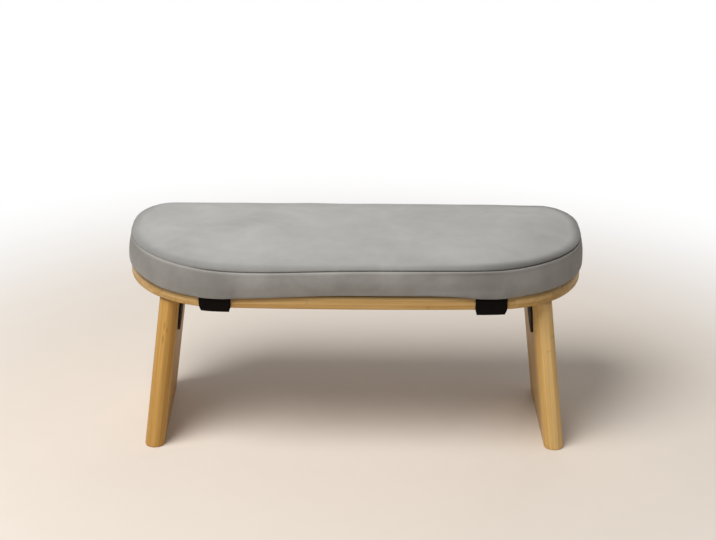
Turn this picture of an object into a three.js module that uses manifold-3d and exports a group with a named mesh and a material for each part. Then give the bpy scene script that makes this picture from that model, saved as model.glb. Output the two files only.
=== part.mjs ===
// Folding meditation bench: a bamboo seat board on two hinged slab legs,
// with a boxed velvet cushion held down by two elastic bands.
// Millimetres, +Z up, +X along the seat, the front edge towards -Y.
// The origin lies on the floor, midway between the legs and under the middle of the seat.

import * as THREE from 'three';
import { mergeVertices } from 'three/addons/utils/BufferGeometryUtils.js';
import Module from 'manifold-3d';

const wasm = await Module();
wasm.setup();

// Clearance left between pieces that touch, and the overrun of a cutting shape.
const fit = 0.3;
const overrun = 1;

// Seat board: a half-moon plate, wide round corners in front and small ones behind.
const seatLength = 470;
const seatDepth = 192;
const seatThickness = 15;
const seatUnderside = 168;
const seatEdgeRound = 3;
const seatSideLength = 13;
const frontCornerLength = 103;
const frontBow = 8;
const backCornerLength = 38;
const backCornerDepth = 54;

// Legs: thick slabs with a full round along the front and back edges, leaning outwards.
const legThickness = 20;
const legInset = 57.4;
const legFrontSetback = 26;
const legBackSetback = 12;
const legSplayDegrees = 7;
const legEndRound = 1.6;

// Butt hinges: tapered leaves, a five-knuckle barrel and a pin with domed ends.
// Two of them share the straight part of each leg, with a space between them.
const hingeSpace = 28;
const hingeSetback = 3;
const barrelRadius = 4.75;
const leafThickness = 2;
const leafReach = 45;
const leafShoulder = 12;
const leafTipRadius = 12;
const knuckleCount = 5;
const pinRadius = 2.5;
const pinHeadRadius = 3.8;
const pinHeadHeight = 1.4;

// Countersunk wood screws, three to a leaf.
const screwLength = 14;
const screwHeadRadius = 3.5;
const screwHeadDepth = 1.7;
const screwShankRadius = 1.75;
const screwHeadLip = 0.3;
const screwTipLength = 3;
const screwTipRadius = 0.4;
const screwCrossWidth = 1;
const screwCrossLength = 4.2;
const screwCrossDepth = 0.9;
const screwFromAxis = 14.5;
const screwFromEnd = 8;

// Cushion: top panel, side band and base panel round a foam core.
const coverThickness = 1.5;
const basePanelThickness = 1.2;
const bandHeight = 27.9;
const bandBulge = 2.6;
const hemOverhang = 0.8;
const cushionCrown = 3.5;

// Elastic bands round the board, slack below it, where they pass under the hinge leaves.
// They slide along the board, and each lies a little way in from its leg.
const strapWidth = 30;
const strapThickness = 1.5;
const leftStrapFromLeg = 37.1;
const rightStrapFromLeg = 43.6;
const strapBendRadius = 4;

// Numbers of facets along the curves.
const cornerFacets = 9;
const straightFacets = 6;
const roundFacets = 3;
const bullnoseFacets = 10;
const barrelFacets = 14;
const leafTipFacets = 8;
const screwFacets = 8;
const bandFacets = 6;

// Rings of the crowned top, as shares of the outline from the edge to the middle.
const crownRingShares = [1, 0.985, 0.96, 0.92, 0.85, 0.72, 0.5, 0.2];
const crownSharpness = 8;

const legSplay = THREE.MathUtils.degToRad(legSplayDegrees);
const seatTop = seatUnderside + seatThickness;
const frontCornerDepth = seatDepth - frontBow - seatSideLength - backCornerDepth;
const legDepth = seatDepth - legFrontSetback - legBackSetback;
const legMiddleY = (legFrontSetback - legBackSetback) / 2;

// The pin runs in the corner between the seat and the leg, clear of both by the barrel.
const pinFromWood = barrelRadius + fit;
const pivotZ = seatUnderside - pinFromWood;
const legInnerX = seatLength / 2 - legInset;
const pivotX = legInnerX + pinFromWood * (Math.tan(legSplay) - 1 / Math.cos(legSplay));
const hingeLength = (legDepth - legThickness - 2 * hingeSetback - hingeSpace) / 2;
const hingeSpacing = hingeLength + hingeSpace;
const strapDrop = fit + leafThickness + fit;
const hemBottom = seatTop + fit;
const seamZ = hemBottom + bandHeight;

const bamboo = { color: 0xbe9155, roughness: 0.5, metalness: 0 };
const blackSteel = { color: 0x1c1a19, roughness: 0.45, metalness: 0.6 };
const blackElastic = { color: 0x0f0f0f, roughness: 0.9, metalness: 0 };
const greyVelvet = { color: 0x9d9b97, roughness: 0.95, metalness: 0 };
const baseCloth = { color: 0x4b4a48, roughness: 0.95, metalness: 0 };
const foam = { color: 0xe9e3cf, roughness: 1, metalness: 0 };

const bench = new THREE.Group();

function piece(name, geometry, finish, parent = bench) {
  const material = new THREE.MeshStandardMaterial({ ...finish, flatShading: true });
  const mesh = new THREE.Mesh(geometry, material);
  mesh.name = name;
  parent.add(mesh);
  return mesh;
}

// Surfaces made of rings that all have the same number of points.

function skin(rings, loops, caps) {
  const count = rings[0].length;
  const faces = [];
  for (let r = 0; r < loops; r += 1) {
    const low = r * count;
    const high = ((r + 1) % rings.length) * count;
    for (let i = 0; i < count; i += 1) {
      const j = (i + 1) % count;
      faces.push(low + i, low + j, high + j, low + i, high + j, high + i);
    }
  }
  if (caps) {
    const last = (rings.length - 1) * count;
    for (let i = 1; i < count - 1; i += 1) {
      faces.push(0, i + 1, i, last, last + i, last + i + 1);
    }
  }
  const geometry = new THREE.BufferGeometry();
  geometry.setAttribute('position', new THREE.Float32BufferAttribute(rings.flat(2), 3));
  geometry.setIndex(faces);
  return geometry;
}

// Rings from the bottom up, closed by a flat face at each end.
function stack(rings) {
  return skin(rings, rings.length - 1, true);
}

// Rings round the cross-section of a wall that closes on itself.
function wall(rings) {
  return skin(rings, rings.length, false);
}

function toSolid(source) {
  let geometry = source;
  if (source.getAttribute('normal')) {
    geometry = source.clone();
    geometry.deleteAttribute('normal');
    geometry.deleteAttribute('uv');
    geometry = mergeVertices(geometry);
  }
  return new wasm.Manifold(new wasm.Mesh({
    numProp: 3,
    vertProperties: new Float32Array(geometry.getAttribute('position').array),
    triVerts: new Uint32Array(geometry.getIndex().array),
  }));
}

function toGeometry(solid) {
  const mesh = solid.getMesh();
  const geometry = new THREE.BufferGeometry();
  geometry.setAttribute('position', new THREE.BufferAttribute(new Float32Array(mesh.vertProperties), 3));
  geometry.setIndex(new THREE.BufferAttribute(new Uint32Array(mesh.triVerts), 1));
  return geometry;
}

function cut(geometry, cutters) {
  const solid = cutters.reduce((left, cutter) => left.subtract(toSolid(cutter)), toSolid(geometry));
  return toGeometry(solid);
}

// A round solid along +Z from the points (radius, height) of its outline.
function turned(outline, facets) {
  const rings = outline.map(([radius, height]) => Array.from({ length: facets }, (_, i) => {
    const angle = (2 * Math.PI * i) / facets;
    return [radius * Math.cos(angle), radius * Math.sin(angle), height];
  }));
  return stack(rings);
}

// The same solid laid along +Y.
function turnedAlongY(outline, facets) {
  return turned(outline, facets).rotateX(-Math.PI / 2);
}

// A quarter round: [inset, rise] from the start of a rounded edge to its end.
function quarterRound(radius) {
  return Array.from({ length: roundFacets + 1 }, (_, i) => {
    const angle = (Math.PI / 2) * (i / roundFacets);
    return [radius * (1 - Math.sin(angle)), radius * (1 - Math.cos(angle))];
  });
}

// Seat outline, counter-clockwise from the middle of the front edge.
// The front edge bows gently and runs into an elliptical corner at each end.

function frontHalfRight(grow) {
  const halfLength = seatLength / 2 + grow;
  const cornerStart = seatLength / 2 - frontCornerLength;
  const front = -seatDepth / 2 - grow;
  const bowAt = (x) => frontBow * (x / halfLength) ** 2;
  const points = [];
  for (let i = 0; i < straightFacets; i += 1) {
    const x = cornerStart * (i / straightFacets);
    points.push([x, front + bowAt(x)]);
  }
  for (let i = 0; i <= cornerFacets; i += 1) {
    const angle = (Math.PI / 2) * (i / cornerFacets);
    const x = cornerStart + (frontCornerLength + grow) * Math.sin(angle);
    const rise = (frontCornerDepth + grow) * (1 - Math.cos(angle));
    points.push([x, front + bowAt(x) + rise]);
  }
  return points;
}

function backHalfRight(grow) {
  const cornerStart = seatLength / 2 - backCornerLength;
  const points = [];
  for (let i = 0; i <= cornerFacets; i += 1) {
    const angle = (Math.PI / 2) * (1 - i / cornerFacets);
    const x = cornerStart + (backCornerLength + grow) * Math.sin(angle);
    const y = seatDepth / 2 - backCornerDepth + (backCornerDepth + grow) * Math.cos(angle);
    points.push([x, y]);
  }
  points.push([0, seatDepth / 2 + grow]);
  return points;
}

function seatOutline(grow) {
  const right = [...frontHalfRight(grow), ...backHalfRight(grow)];
  const left = right.slice(1, -1).reverse().map(([x, y]) => [-x, y]);
  return [...right, ...left];
}

function seatRing(grow, z, share = 1) {
  return seatOutline(grow).map(([x, y]) => [x * share, y * share, z]);
}

// A plate with the seat's outline and rounded edges above and below.
function seatPlate(grow, low, high, edgeRound) {
  const edge = quarterRound(edgeRound);
  const below = edge.map(([inset, rise]) => seatRing(grow - inset, low + rise));
  const above = edge.map(([inset, rise]) => seatRing(grow - inset, high - rise)).reverse();
  return stack([...below, ...above]);
}

// Hinges. A leaf is drawn with the pin along Y through the origin: its plate lies on top of
// the barrel, reaches towards -X and meets the wood on its upper face.

function leafPlate() {
  const half = hingeLength / 2;
  const tip = leafReach - leafTipRadius;
  const back = leafShoulder - tip;
  const tangent = Math.atan2(half, back) - Math.acos(leafTipRadius / Math.hypot(half, back));
  const shape = new THREE.Shape();
  shape.moveTo(0, -half);
  shape.lineTo(leafShoulder, -half);
  shape.absarc(tip, 0, leafTipRadius, -tangent, tangent, false);
  shape.lineTo(leafShoulder, half);
  shape.lineTo(0, half);
  const plate = new THREE.ExtrudeGeometry(shape, {
    depth: leafThickness,
    bevelEnabled: false,
    curveSegments: leafTipFacets,
  });
  return plate.rotateZ(Math.PI).translate(0, 0, barrelRadius - leafThickness);
}

// Where the screws go: two beside the barrel and one in the tip, heads level with the leaf.
function screwSpots() {
  const z = barrelRadius - leafThickness;
  const side = hingeLength / 2 - screwFromEnd;
  return [
    [-screwFromAxis, -side, z],
    [-screwFromAxis, side, z],
    [leafTipRadius - leafReach, 0, z],
  ];
}

function movedTo(geometry, [x, y, z]) {
  return geometry.clone().translate(x, y, z);
}

const countersink = turned([
  [screwHeadRadius + fit, -overrun],
  [screwHeadRadius + fit, screwHeadLip],
  [screwShankRadius + fit, screwHeadDepth],
  [screwShankRadius + fit, leafThickness + overrun],
], screwFacets);

const screwBore = turned([
  [screwShankRadius + fit, leafThickness],
  [screwShankRadius + fit, screwLength + fit],
], screwFacets);

function screw() {
  const body = turned([
    [screwHeadRadius, 0],
    [screwHeadRadius, screwHeadLip],
    [screwShankRadius, screwHeadDepth],
    [screwShankRadius, screwLength - screwTipLength],
    [screwTipRadius, screwLength],
  ], screwFacets);
  const slotHeight = screwCrossDepth + overrun;
  const slot = new THREE.BoxGeometry(screwCrossLength, screwCrossWidth, slotHeight);
  slot.translate(0, 0, screwCrossDepth - slotHeight / 2);
  return cut(body, [slot, slot.clone().rotateZ(Math.PI / 2)]);
}

// A length of the barrel, from one share of the hinge's length to another.
function barrelLength(radius, from, to, trim) {
  const low = hingeLength * (from - 1 / 2) + trim;
  const high = hingeLength * (to - 1 / 2) - trim;
  return turnedAlongY([[radius, low], [radius, high]], barrelFacets);
}

// The seat's leaf carries the knuckles with even numbers and the leg's leaf the odd ones.
function hingeLeaf(parity) {
  let solid = toSolid(leafPlate());
  const gaps = [];
  for (let k = 0; k < knuckleCount; k += 1) {
    const from = k / knuckleCount;
    const to = (k + 1) / knuckleCount;
    if (k % 2 === parity) {
      solid = solid.add(toSolid(barrelLength(barrelRadius, from, to, 0)));
    } else {
      gaps.push(barrelLength(barrelRadius + fit, from, to, -fit / 2));
    }
  }
  const bore = barrelLength(pinRadius + fit, 0, 1, -overrun);
  const sinks = screwSpots().map((spot) => movedTo(countersink, spot));
  return cut(toGeometry(solid), [...gaps, bore, ...sinks]);
}

function hingePin() {
  const half = hingeLength / 2 + fit;
  const dome = quarterRound(pinHeadHeight).map(([inset, rise]) => [
    pinHeadRadius - inset,
    half + pinHeadHeight - rise,
  ]);
  const upper = [[pinRadius, half], ...dome.reverse()];
  const lower = upper.map(([radius, height]) => [radius, -height]).reverse();
  return turnedAlongY([...lower, ...upper], barrelFacets);
}

// Places on a side of the bench: the leg's own frame has its origin on the pin, the leg
// leaning towards +X, and is turned half round for the left side.

function sideFrame(side) {
  const turn = side > 0 ? 0 : Math.PI;
  return new THREE.Matrix4()
    .makeTranslation(side * pivotX, legMiddleY, pivotZ)
    .multiply(new THREE.Matrix4().makeRotationZ(turn));
}

function seatHalf(y) {
  return new THREE.Matrix4().makeTranslation(0, y, 0);
}

function legHalf(y) {
  return seatHalf(y)
    .multiply(new THREE.Matrix4().makeRotationY(-legSplay - Math.PI / 2))
    .multiply(new THREE.Matrix4().makeRotationX(Math.PI));
}

function bores(frames) {
  return frames.flatMap((frame) => screwSpots().map((spot) => (
    movedTo(screwBore, spot).applyMatrix4(frame)
  )));
}

// Legs. Every level section is a slab with half-round ends, moved along by the lean.

function legRing(inset, z) {
  const stretch = 1 / Math.cos(legSplay);
  const middle = (pinFromWood + legThickness / 2) * stretch - z * Math.tan(legSplay);
  const radius = legThickness / 2 - inset;
  const straight = legDepth / 2 - legThickness / 2;
  const points = [];
  for (const end of [1, -1]) {
    for (let i = 0; i <= bullnoseFacets; i += 1) {
      const angle = Math.PI * (i / bullnoseFacets) + (end > 0 ? 0 : Math.PI);
      points.push([
        middle + radius * stretch * Math.cos(angle),
        end * straight + radius * Math.sin(angle),
        z,
      ]);
    }
  }
  return points;
}

function leg(hingeYs) {
  const end = quarterRound(legEndRound);
  const top = pinFromWood - fit;
  const foot = end.map(([inset, rise]) => legRing(inset, rise - pivotZ));
  const head = end.map(([inset, rise]) => legRing(inset, top - rise)).reverse();
  return cut(stack([...foot, ...head]), bores(hingeYs.map(legHalf)));
}

// Cushion. The side band swells between the hem and the seam, and the top panel is crowned.

function bandGrow(rise) {
  return hemOverhang * (1 - rise) + 4 * bandBulge * rise * (1 - rise);
}

function bandRings(shrink, from = 0) {
  return Array.from({ length: bandFacets + 1 }, (_, i) => {
    const rise = from + (1 - from) * (i / bandFacets);
    return seatRing(bandGrow(rise) - shrink, hemBottom + bandHeight * rise);
  });
}

function crownRings(shrink, z) {
  return crownRingShares.map((share) => (
    seatRing(-shrink, z + cushionCrown * (1 - share ** crownSharpness), share)
  ));
}

function topPanel() {
  const under = crownRings(0, seamZ + fit).reverse();
  const over = crownRings(0, seamZ + fit + coverThickness);
  return stack([...under, ...over]);
}

function sideBand() {
  return wall([...bandRings(0), ...bandRings(coverThickness).reverse()]);
}

function basePanel() {
  const grow = hemOverhang - coverThickness - fit;
  return stack([seatRing(grow, hemBottom), seatRing(grow, hemBottom + basePanelThickness)]);
}

function foamCore() {
  const shrink = coverThickness + fit;
  const start = (basePanelThickness + fit) / bandHeight;
  return stack([...bandRings(shrink, start), ...crownRings(shrink, seamZ).slice(1)]);
}

// An elastic band: what lies between two plates round the board, cut to the band's width.
function strap(middleX) {
  const above = seatTop + strapBendRadius + strapThickness + overrun;
  const inner = seatPlate(fit, seatUnderside - strapDrop, above, strapBendRadius);
  const outer = seatPlate(
    fit + strapThickness,
    seatUnderside - strapDrop - strapThickness,
    above + overrun,
    strapBendRadius + strapThickness,
  );
  const bottom = seatUnderside - strapDrop - strapThickness - overrun;
  const height = seatTop - bottom;
  const slice = new THREE.BoxGeometry(strapWidth, 2 * seatDepth, height);
  slice.translate(middleX, 0, bottom + height / 2);
  return toGeometry(toSolid(outer).subtract(toSolid(inner)).intersect(toSolid(slice)));
}

// Assembly.

const hingePlaces = [['front', -hingeSpacing / 2], ['rear', hingeSpacing / 2]];
const sides = [['left', -1], ['right', 1]];

const seatBores = sides.flatMap(([, side]) => bores(
  hingePlaces.map(([, y]) => sideFrame(side).multiply(seatHalf(y))),
));
piece('seat_board', cut(seatPlate(0, seatUnderside, seatTop, seatEdgeRound), seatBores), bamboo);

function hingeHalf(parent, frame, name, parity) {
  const half = new THREE.Group();
  half.applyMatrix4(frame);
  parent.add(half);
  piece(`${name}_leaf`, hingeLeaf(parity), blackSteel, half);
  screwSpots().forEach((spot, i) => {
    piece(`${name}_screw_${i + 1}`, screw(), blackSteel, half).position.set(...spot);
  });
}

for (const [sideName, side] of sides) {
  const corner = new THREE.Group();
  corner.applyMatrix4(sideFrame(side));
  bench.add(corner);
  piece(`leg_${sideName}`, leg(hingePlaces.map(([, y]) => y)), bamboo, corner);
  for (const [placeName, y] of hingePlaces) {
    const name = `hinge_${sideName}_${placeName}`;
    hingeHalf(corner, seatHalf(side * y), `${name}_seat`, 0);
    hingeHalf(corner, legHalf(side * y), `${name}_leg`, 1);
    piece(`${name}_pin`, hingePin(), blackSteel, corner).position.set(0, side * y, 0);
  }
}

piece('cushion_base_panel', basePanel(), baseCloth);
piece('cushion_foam', foamCore(), foam);
piece('cushion_side_band', sideBand(), greyVelvet);
piece('cushion_top_panel', topPanel(), greyVelvet);

piece('strap_left', strap(leftStrapFromLeg - legInnerX), blackElastic);
piece('strap_right', strap(legInnerX - rightStrapFromLeg), blackElastic);

export default bench;
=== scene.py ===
# %% [markdown]
# # A folding meditation bench
# A low kneeling seat: a half-moon bamboo board on two slab legs that lean outwards and fold
# flat underneath it, with a grey velvet cushion held on by two black elastic bands.
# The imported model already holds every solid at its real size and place. This lesson dresses
# it: finer surfaces stand for the faceted ones, and each piece gets its finish.

# %% Load the frame that everything is built around
import math

import bpy
import numpy as np
from mathutils import Matrix, Vector


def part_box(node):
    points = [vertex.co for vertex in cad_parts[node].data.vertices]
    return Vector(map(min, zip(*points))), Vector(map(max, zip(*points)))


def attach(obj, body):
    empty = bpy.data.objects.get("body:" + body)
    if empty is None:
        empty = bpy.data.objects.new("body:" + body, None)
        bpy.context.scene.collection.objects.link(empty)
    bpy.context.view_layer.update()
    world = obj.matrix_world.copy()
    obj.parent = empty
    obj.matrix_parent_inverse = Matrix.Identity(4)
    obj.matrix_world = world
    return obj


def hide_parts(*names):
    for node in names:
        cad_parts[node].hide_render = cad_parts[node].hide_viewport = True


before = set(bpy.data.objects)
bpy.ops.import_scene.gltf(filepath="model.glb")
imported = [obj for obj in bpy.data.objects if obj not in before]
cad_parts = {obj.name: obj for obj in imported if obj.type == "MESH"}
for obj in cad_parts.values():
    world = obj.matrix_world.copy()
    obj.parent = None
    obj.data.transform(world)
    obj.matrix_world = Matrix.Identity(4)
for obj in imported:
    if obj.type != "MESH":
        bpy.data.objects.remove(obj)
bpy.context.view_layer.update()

# %% [markdown]
# ## Sizes
# Places are measured from the frame, so the dressed pieces land on the solids. The few sizes
# that a box can't tell, such as the corners of the board, are named here in millimetres.

# %% Measure the board
MM = 0.001

board_low, board_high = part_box("seat_board")
seat_length = board_high.x - board_low.x
seat_depth = board_high.y - board_low.y
seat_bottom, seat_top = board_low.z, board_high.z

front_bow = 8 * MM
front_corner_length = 103 * MM
side_length = 13 * MM
back_corner_length = 38 * MM
back_corner_depth = 54 * MM
front_corner_depth = seat_depth - front_bow - side_length - back_corner_depth
half_length = seat_length / 2
corner_power_left, corner_power_right = 2.14, 2.25

print("board", round(seat_length, 4), "by", round(seat_depth, 4), "top at", round(seat_top, 4))

# %% [markdown]
# ## Surfaces from rings
# Most pieces here are a stack of rings with the same number of points. Each ring is worked out
# as one array, so a shape is only a list of offsets and heights, and one function joins the
# rings to a closed mesh with its faces pointing out.

# %% Put arrays into a mesh


def in_scene(name, data):
    """An object for a mesh, a lamp or the camera, put into the scene."""
    thing = bpy.data.objects.new(name, data)
    bpy.context.scene.collection.objects.link(thing)
    return thing


def new_mesh(name, points, faces):
    """A mesh from rows of points and lists of corner numbers."""
    data = bpy.data.meshes.new(name)
    data.from_pydata(np.asarray(points, float).tolist(), [], faces)
    return data


def piece_from(name, data, body, finish, smooth=True):
    """An object at the origin for a mesh, with its finish, riding on a body."""
    data.polygons.foreach_set("use_smooth", [smooth] * len(data.polygons))
    data.update()
    data.materials.clear()
    data.materials.append(finish)
    piece = in_scene(name, data)
    if body:
        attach(piece, body)
    return piece


def mesh_piece(name, points, faces, body, finish, smooth=True):
    """The same, straight from rows of points and faces."""
    return piece_from(name, new_mesh(name, points, faces), body, finish, smooth)


def store(piece, title, values):
    """Keeps one number for each point of a mesh, for its material to read."""
    kept = piece.data.attributes.new(title, "FLOAT", "POINT")
    kept.data.foreach_set("value", np.ravel(values))


def skin(rings):
    """Joins each ring to the next with four-sided faces: point i and i + 1 of a ring with
    point i + 1 and i of the next. Strips from one half of a ring to the other close the
    first and last one, because a fan would hang hundreds of faces on one point, which
    Subdivision is very slow to smooth. Rings run counter-clockwise, from the bottom
    outwards, up and inwards."""
    rings = np.asarray(rings, float)
    count, around = rings.shape[:2]
    here = np.arange(around)
    following = np.roll(here, -1)
    starts = around * np.arange(count - 1)[:, None]
    quads = np.stack(
        [starts + here, starts + following, starts + around + following, starts + around + here],
        axis=-1,
    ).reshape(-1, 4)
    step = np.arange(1, around // 2 - 1)
    strips = np.stack([step, step + 1, around - step - 1, around - step], axis=-1).tolist()
    half = around // 2
    lid = [[0, 1, around - 1]] + strips + [[half - 1, half, half + 1]]
    last = (count - 1) * around
    bottom = [face[::-1] for face in lid]
    top = [[last + corner for corner in face] for face in lid]
    return rings.reshape(-1, 3), quads.tolist() + bottom + top


def quarter_round(radius, steps):
    """A rounded edge as rows of inset and rise: radius times one minus sine and one minus
    cosine of an angle that goes from nothing to a quarter turn."""
    angle = np.linspace(0, math.pi / 2, steps + 1)
    return np.column_stack([radius * (1 - np.sin(angle)), radius * (1 - np.cos(angle))])


def smooth_step(value, start, end):
    """0 before start, 1 after end, and 3 t squared minus 2 t cubed between them."""
    t = np.clip((value - start) / (end - start), 0, 1)
    return t * t * (3 - 2 * t)


def bell(distance, reach):
    """e to the minus square of the distance over the reach: one at no distance, then less."""
    return np.exp(-((distance / reach) ** 2))


# %% [markdown]
# ## The half-moon outline
# The board, the cushion and the bands all follow one outline: a gently bowed front with wide
# corners, short straight sides and smaller corners behind. The corners were cut by hand round
# a template: they are a little fuller than an ellipse, the right one more so. Drawing the
# outline once and moving it along its own normals keeps every ring parallel to the edge.

# %% Draw the outline once
straight_steps, front_corner_steps, side_steps = 38, 54, 5
back_corner_steps, back_steps = 24, 56


def front_edge(x):
    """The y of the front edge at x: minus half the depth, plus the bow times the square of
    x over the half length, plus the corner's rise. The corner is a superellipse: its depth
    times one minus (1 - u to the power) to one over the power, with u the share of the
    corner's length that x has gone. A power of 2 would be an ellipse."""
    start = half_length - front_corner_length
    power = np.where(np.asarray(x) < 0, corner_power_left, corner_power_right)
    share = np.clip((np.abs(x) - start) / front_corner_length, 0, 1)
    rise = front_corner_depth * (1 - (1 - share**power) ** (1 / power))
    return -seat_depth / 2 + front_bow * (x / half_length) ** 2 + rise


def half_outline(side, power):
    """One half in five stretches from the middle of the front: straight, corner, side,
    corner, straight. The front corner's x is its start plus its length times the sine of an
    angle to two over the power. The left half is drawn on the right and mirrored later."""
    corner_start = half_length - front_corner_length
    back_start = half_length - back_corner_length
    side_low = -seat_depth / 2 + front_bow + front_corner_depth
    side_high = seat_depth / 2 - back_corner_depth
    front_x = np.linspace(0, corner_start, straight_steps, endpoint=False)
    angle = np.linspace(0, math.pi / 2, front_corner_steps, endpoint=False)
    corner_x = corner_start + front_corner_length * np.sin(angle) ** (2 / power)
    side_y = np.linspace(side_low, side_high, side_steps, endpoint=False)
    turn = np.linspace(math.pi / 2, 0, back_corner_steps, endpoint=False)
    back_x = np.linspace(back_start, 0, back_steps + 1)
    return np.vstack([
        np.column_stack([front_x, front_edge(side * front_x)]),
        np.column_stack([corner_x, front_edge(side * corner_x)]),
        np.column_stack([np.full(side_steps, half_length), side_y]),
        np.column_stack([
            back_start + back_corner_length * np.sin(turn),
            side_high + back_corner_depth * np.cos(turn),
        ]),
        np.column_stack([back_x, np.full(back_steps + 1, seat_depth / 2)]),
    ])


def seat_outline():
    """Both halves joined, and numbered from the middle of the right front corner."""
    right = half_outline(1, corner_power_right)
    left = half_outline(-1, corner_power_left)[1:-1][::-1] * [-1, 1]
    corner_middle = straight_steps + front_corner_steps // 2
    return np.roll(np.vstack([right, left]), -corner_middle, axis=0)


outline = seat_outline()
along = np.roll(outline, -1, axis=0) - np.roll(outline, 1, axis=0)
outward = np.column_stack([along[:, 1], -along[:, 0]])
outward /= np.linalg.norm(outward, axis=1, keepdims=True)


def seat_ring(offset, height, share=1.0):
    """The outline moved outwards by offset, drawn in to a share of its size, at a height."""
    flat = (outline + outward * np.reshape(offset, (-1, 1))) * share
    return np.column_stack([flat, np.broadcast_to(height, len(flat))])


print("outline of", len(outline), "points")

# %% [markdown]
# ## Building materials from nodes
# Materials are made of shader nodes. Small helpers keep that readable: the first makes a node
# with its settings and inputs, the next ones stand for the nodes that every finish here needs,
# and the last ones make groups and materials. A value that is the same all over a surface is
# set straight on the Principled shader's own socket.

# %% Node helpers
VALUE, COLOUR, VECTOR = "NodeSocketFloat", "NodeSocketColor", "NodeSocketVector"
finish_outputs = {"Color": COLOUR, "Roughness": VALUE, "Height": VALUE}


def node(tree, kind, inputs=None, **settings):
    """Adds a node. An input's value is either a number or colour, or a socket to link."""
    made = tree.nodes.new(kind)
    for key, value in settings.items():
        setattr(made, key, value)
    for key, value in (inputs or {}).items():
        if isinstance(value, bpy.types.NodeSocket):
            tree.links.new(value, made.inputs[key])
        else:
            made.inputs[key].default_value = value
    return made


def calc(tree, operation, *values):
    """The output socket of a Math node."""
    made = node(tree, "ShaderNodeMath", dict(enumerate(values)), operation=operation)
    return made.outputs["Value"]


def vector_calc(tree, operation, *values, output="Vector"):
    """An output socket of a Vector Math node."""
    made = node(tree, "ShaderNodeVectorMath", dict(enumerate(values)), operation=operation)
    return made.outputs[output]


def joined(tree, *parts):
    """Up to three numbers as one vector."""
    return node(tree, "ShaderNodeCombineXYZ", dict(enumerate(parts))).outputs["Vector"]


def noise(tree, vector, waves, detail=2.0, roughness=0.5, output="Fac"):
    """A Noise Texture with about so many waves to the metre."""
    inputs = {"Vector": vector, "Scale": waves, "Detail": detail, "Roughness": roughness}
    return node(tree, "ShaderNodeTexNoise", inputs).outputs[output]


def ramp(tree, value, start, end, first, last, kind="SMOOTHSTEP"):
    """A Map Range node: first up to the start, last from the end on, and a ramp between."""
    inputs = {"Value": value, 1: start, 2: end, 3: first, 4: last}
    return node(tree, "ShaderNodeMapRange", inputs, interpolation_type=kind).outputs["Result"]


def mixed(tree, factor, first, second):
    """A colour between two others, from a Mix node's colour sockets."""
    made = node(tree, "ShaderNodeMix", {0: factor, 6: first, 7: second}, data_type="RGBA")
    return made.outputs[2]


def stored(tree, title):
    """The number that store() keeps for each point of a mesh under this title."""
    return node(tree, "ShaderNodeAttribute", attribute_name=title).outputs["Fac"]


def plug(tree, target, **sources):
    """Links sockets to a node's inputs, whose names have _ for each space here."""
    for title, source in sources.items():
        tree.links.new(source, target.inputs[title.replace("_", " ")])


def plug_bump(tree, shader, height, strength, distance):
    """A Bump node between a height and the shader's normal."""
    inputs = {"Height": height, "Strength": strength, "Distance": distance}
    plug(tree, shader, Normal=node(tree, "ShaderNodeBump", inputs).outputs["Normal"])


def object_space(tree, turn=(0, 0, 0), shift=(0, 0, 0)):
    """Object coordinates, turned and shifted by a Mapping node."""
    place = node(tree, "ShaderNodeTexCoord").outputs["Object"]
    inputs = {"Vector": place, "Rotation": turn, "Location": shift}
    return node(tree, "ShaderNodeMapping", inputs).outputs["Vector"]


def new_group(name, inputs, outputs):
    """An empty shader group with named sockets. Returns its tree and its two end nodes."""
    tree = bpy.data.node_groups.new(name, "ShaderNodeTree")
    for direction, sockets in (("INPUT", inputs), ("OUTPUT", outputs)):
        for title, kind in sockets.items():
            tree.interface.new_socket(title, in_out=direction, socket_type=kind)
    return tree, tree.nodes.new("NodeGroupInput"), tree.nodes.new("NodeGroupOutput")


def new_material(name, **plain):
    """A material with a Principled shader. Plain values go on the shader's own sockets."""
    material = bpy.data.materials.new(name)
    material.use_nodes = True
    tree = material.node_tree
    tree.nodes.clear()
    values = {title.replace("_", " "): value for title, value in plain.items()}
    shader = node(tree, "ShaderNodeBsdfPrincipled", values)
    node(tree, "ShaderNodeOutputMaterial", {"Surface": shader.outputs["BSDF"]})
    return material, tree, shader


# %% [markdown]
# ## Laminated bamboo
# Bamboo boards are glued up from strips a few millimetres thick and about two centimetres wide.
# Each strip has its own tone, long fibres run down it, and every so often it shows the dark
# ring of a growth joint. The group takes a vector whose x runs along the grain, whose y runs
# across the strips and whose z runs through the layers, so one group serves board and legs.

# %% The bamboo group
strip_shift = 5.0
streak_waves, streak_detail, streak_roughness = (7, 240, 240), 3.0, 0.6
fibre_waves = (28, 2100, 2100)
ripple_waves = 130
grain_period = 410 * MM
joint_width = 2.2 * MM
joint_wobble = 3 * joint_width
glue_width = 0.16 * MM
strip_share, streak_share, fibre_share, shade_offset = 0.62, 1.15, 0.40, 0.58
joint_share, joint_brown = 0.17, (0.16, 0.075, 0.025, 1)
glue_share, glue_brown = 0.34, (0.20, 0.10, 0.035, 1)
wood_rough, fibre_rough = 0.40, 0.22
fibre_relief = 0.6


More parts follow.
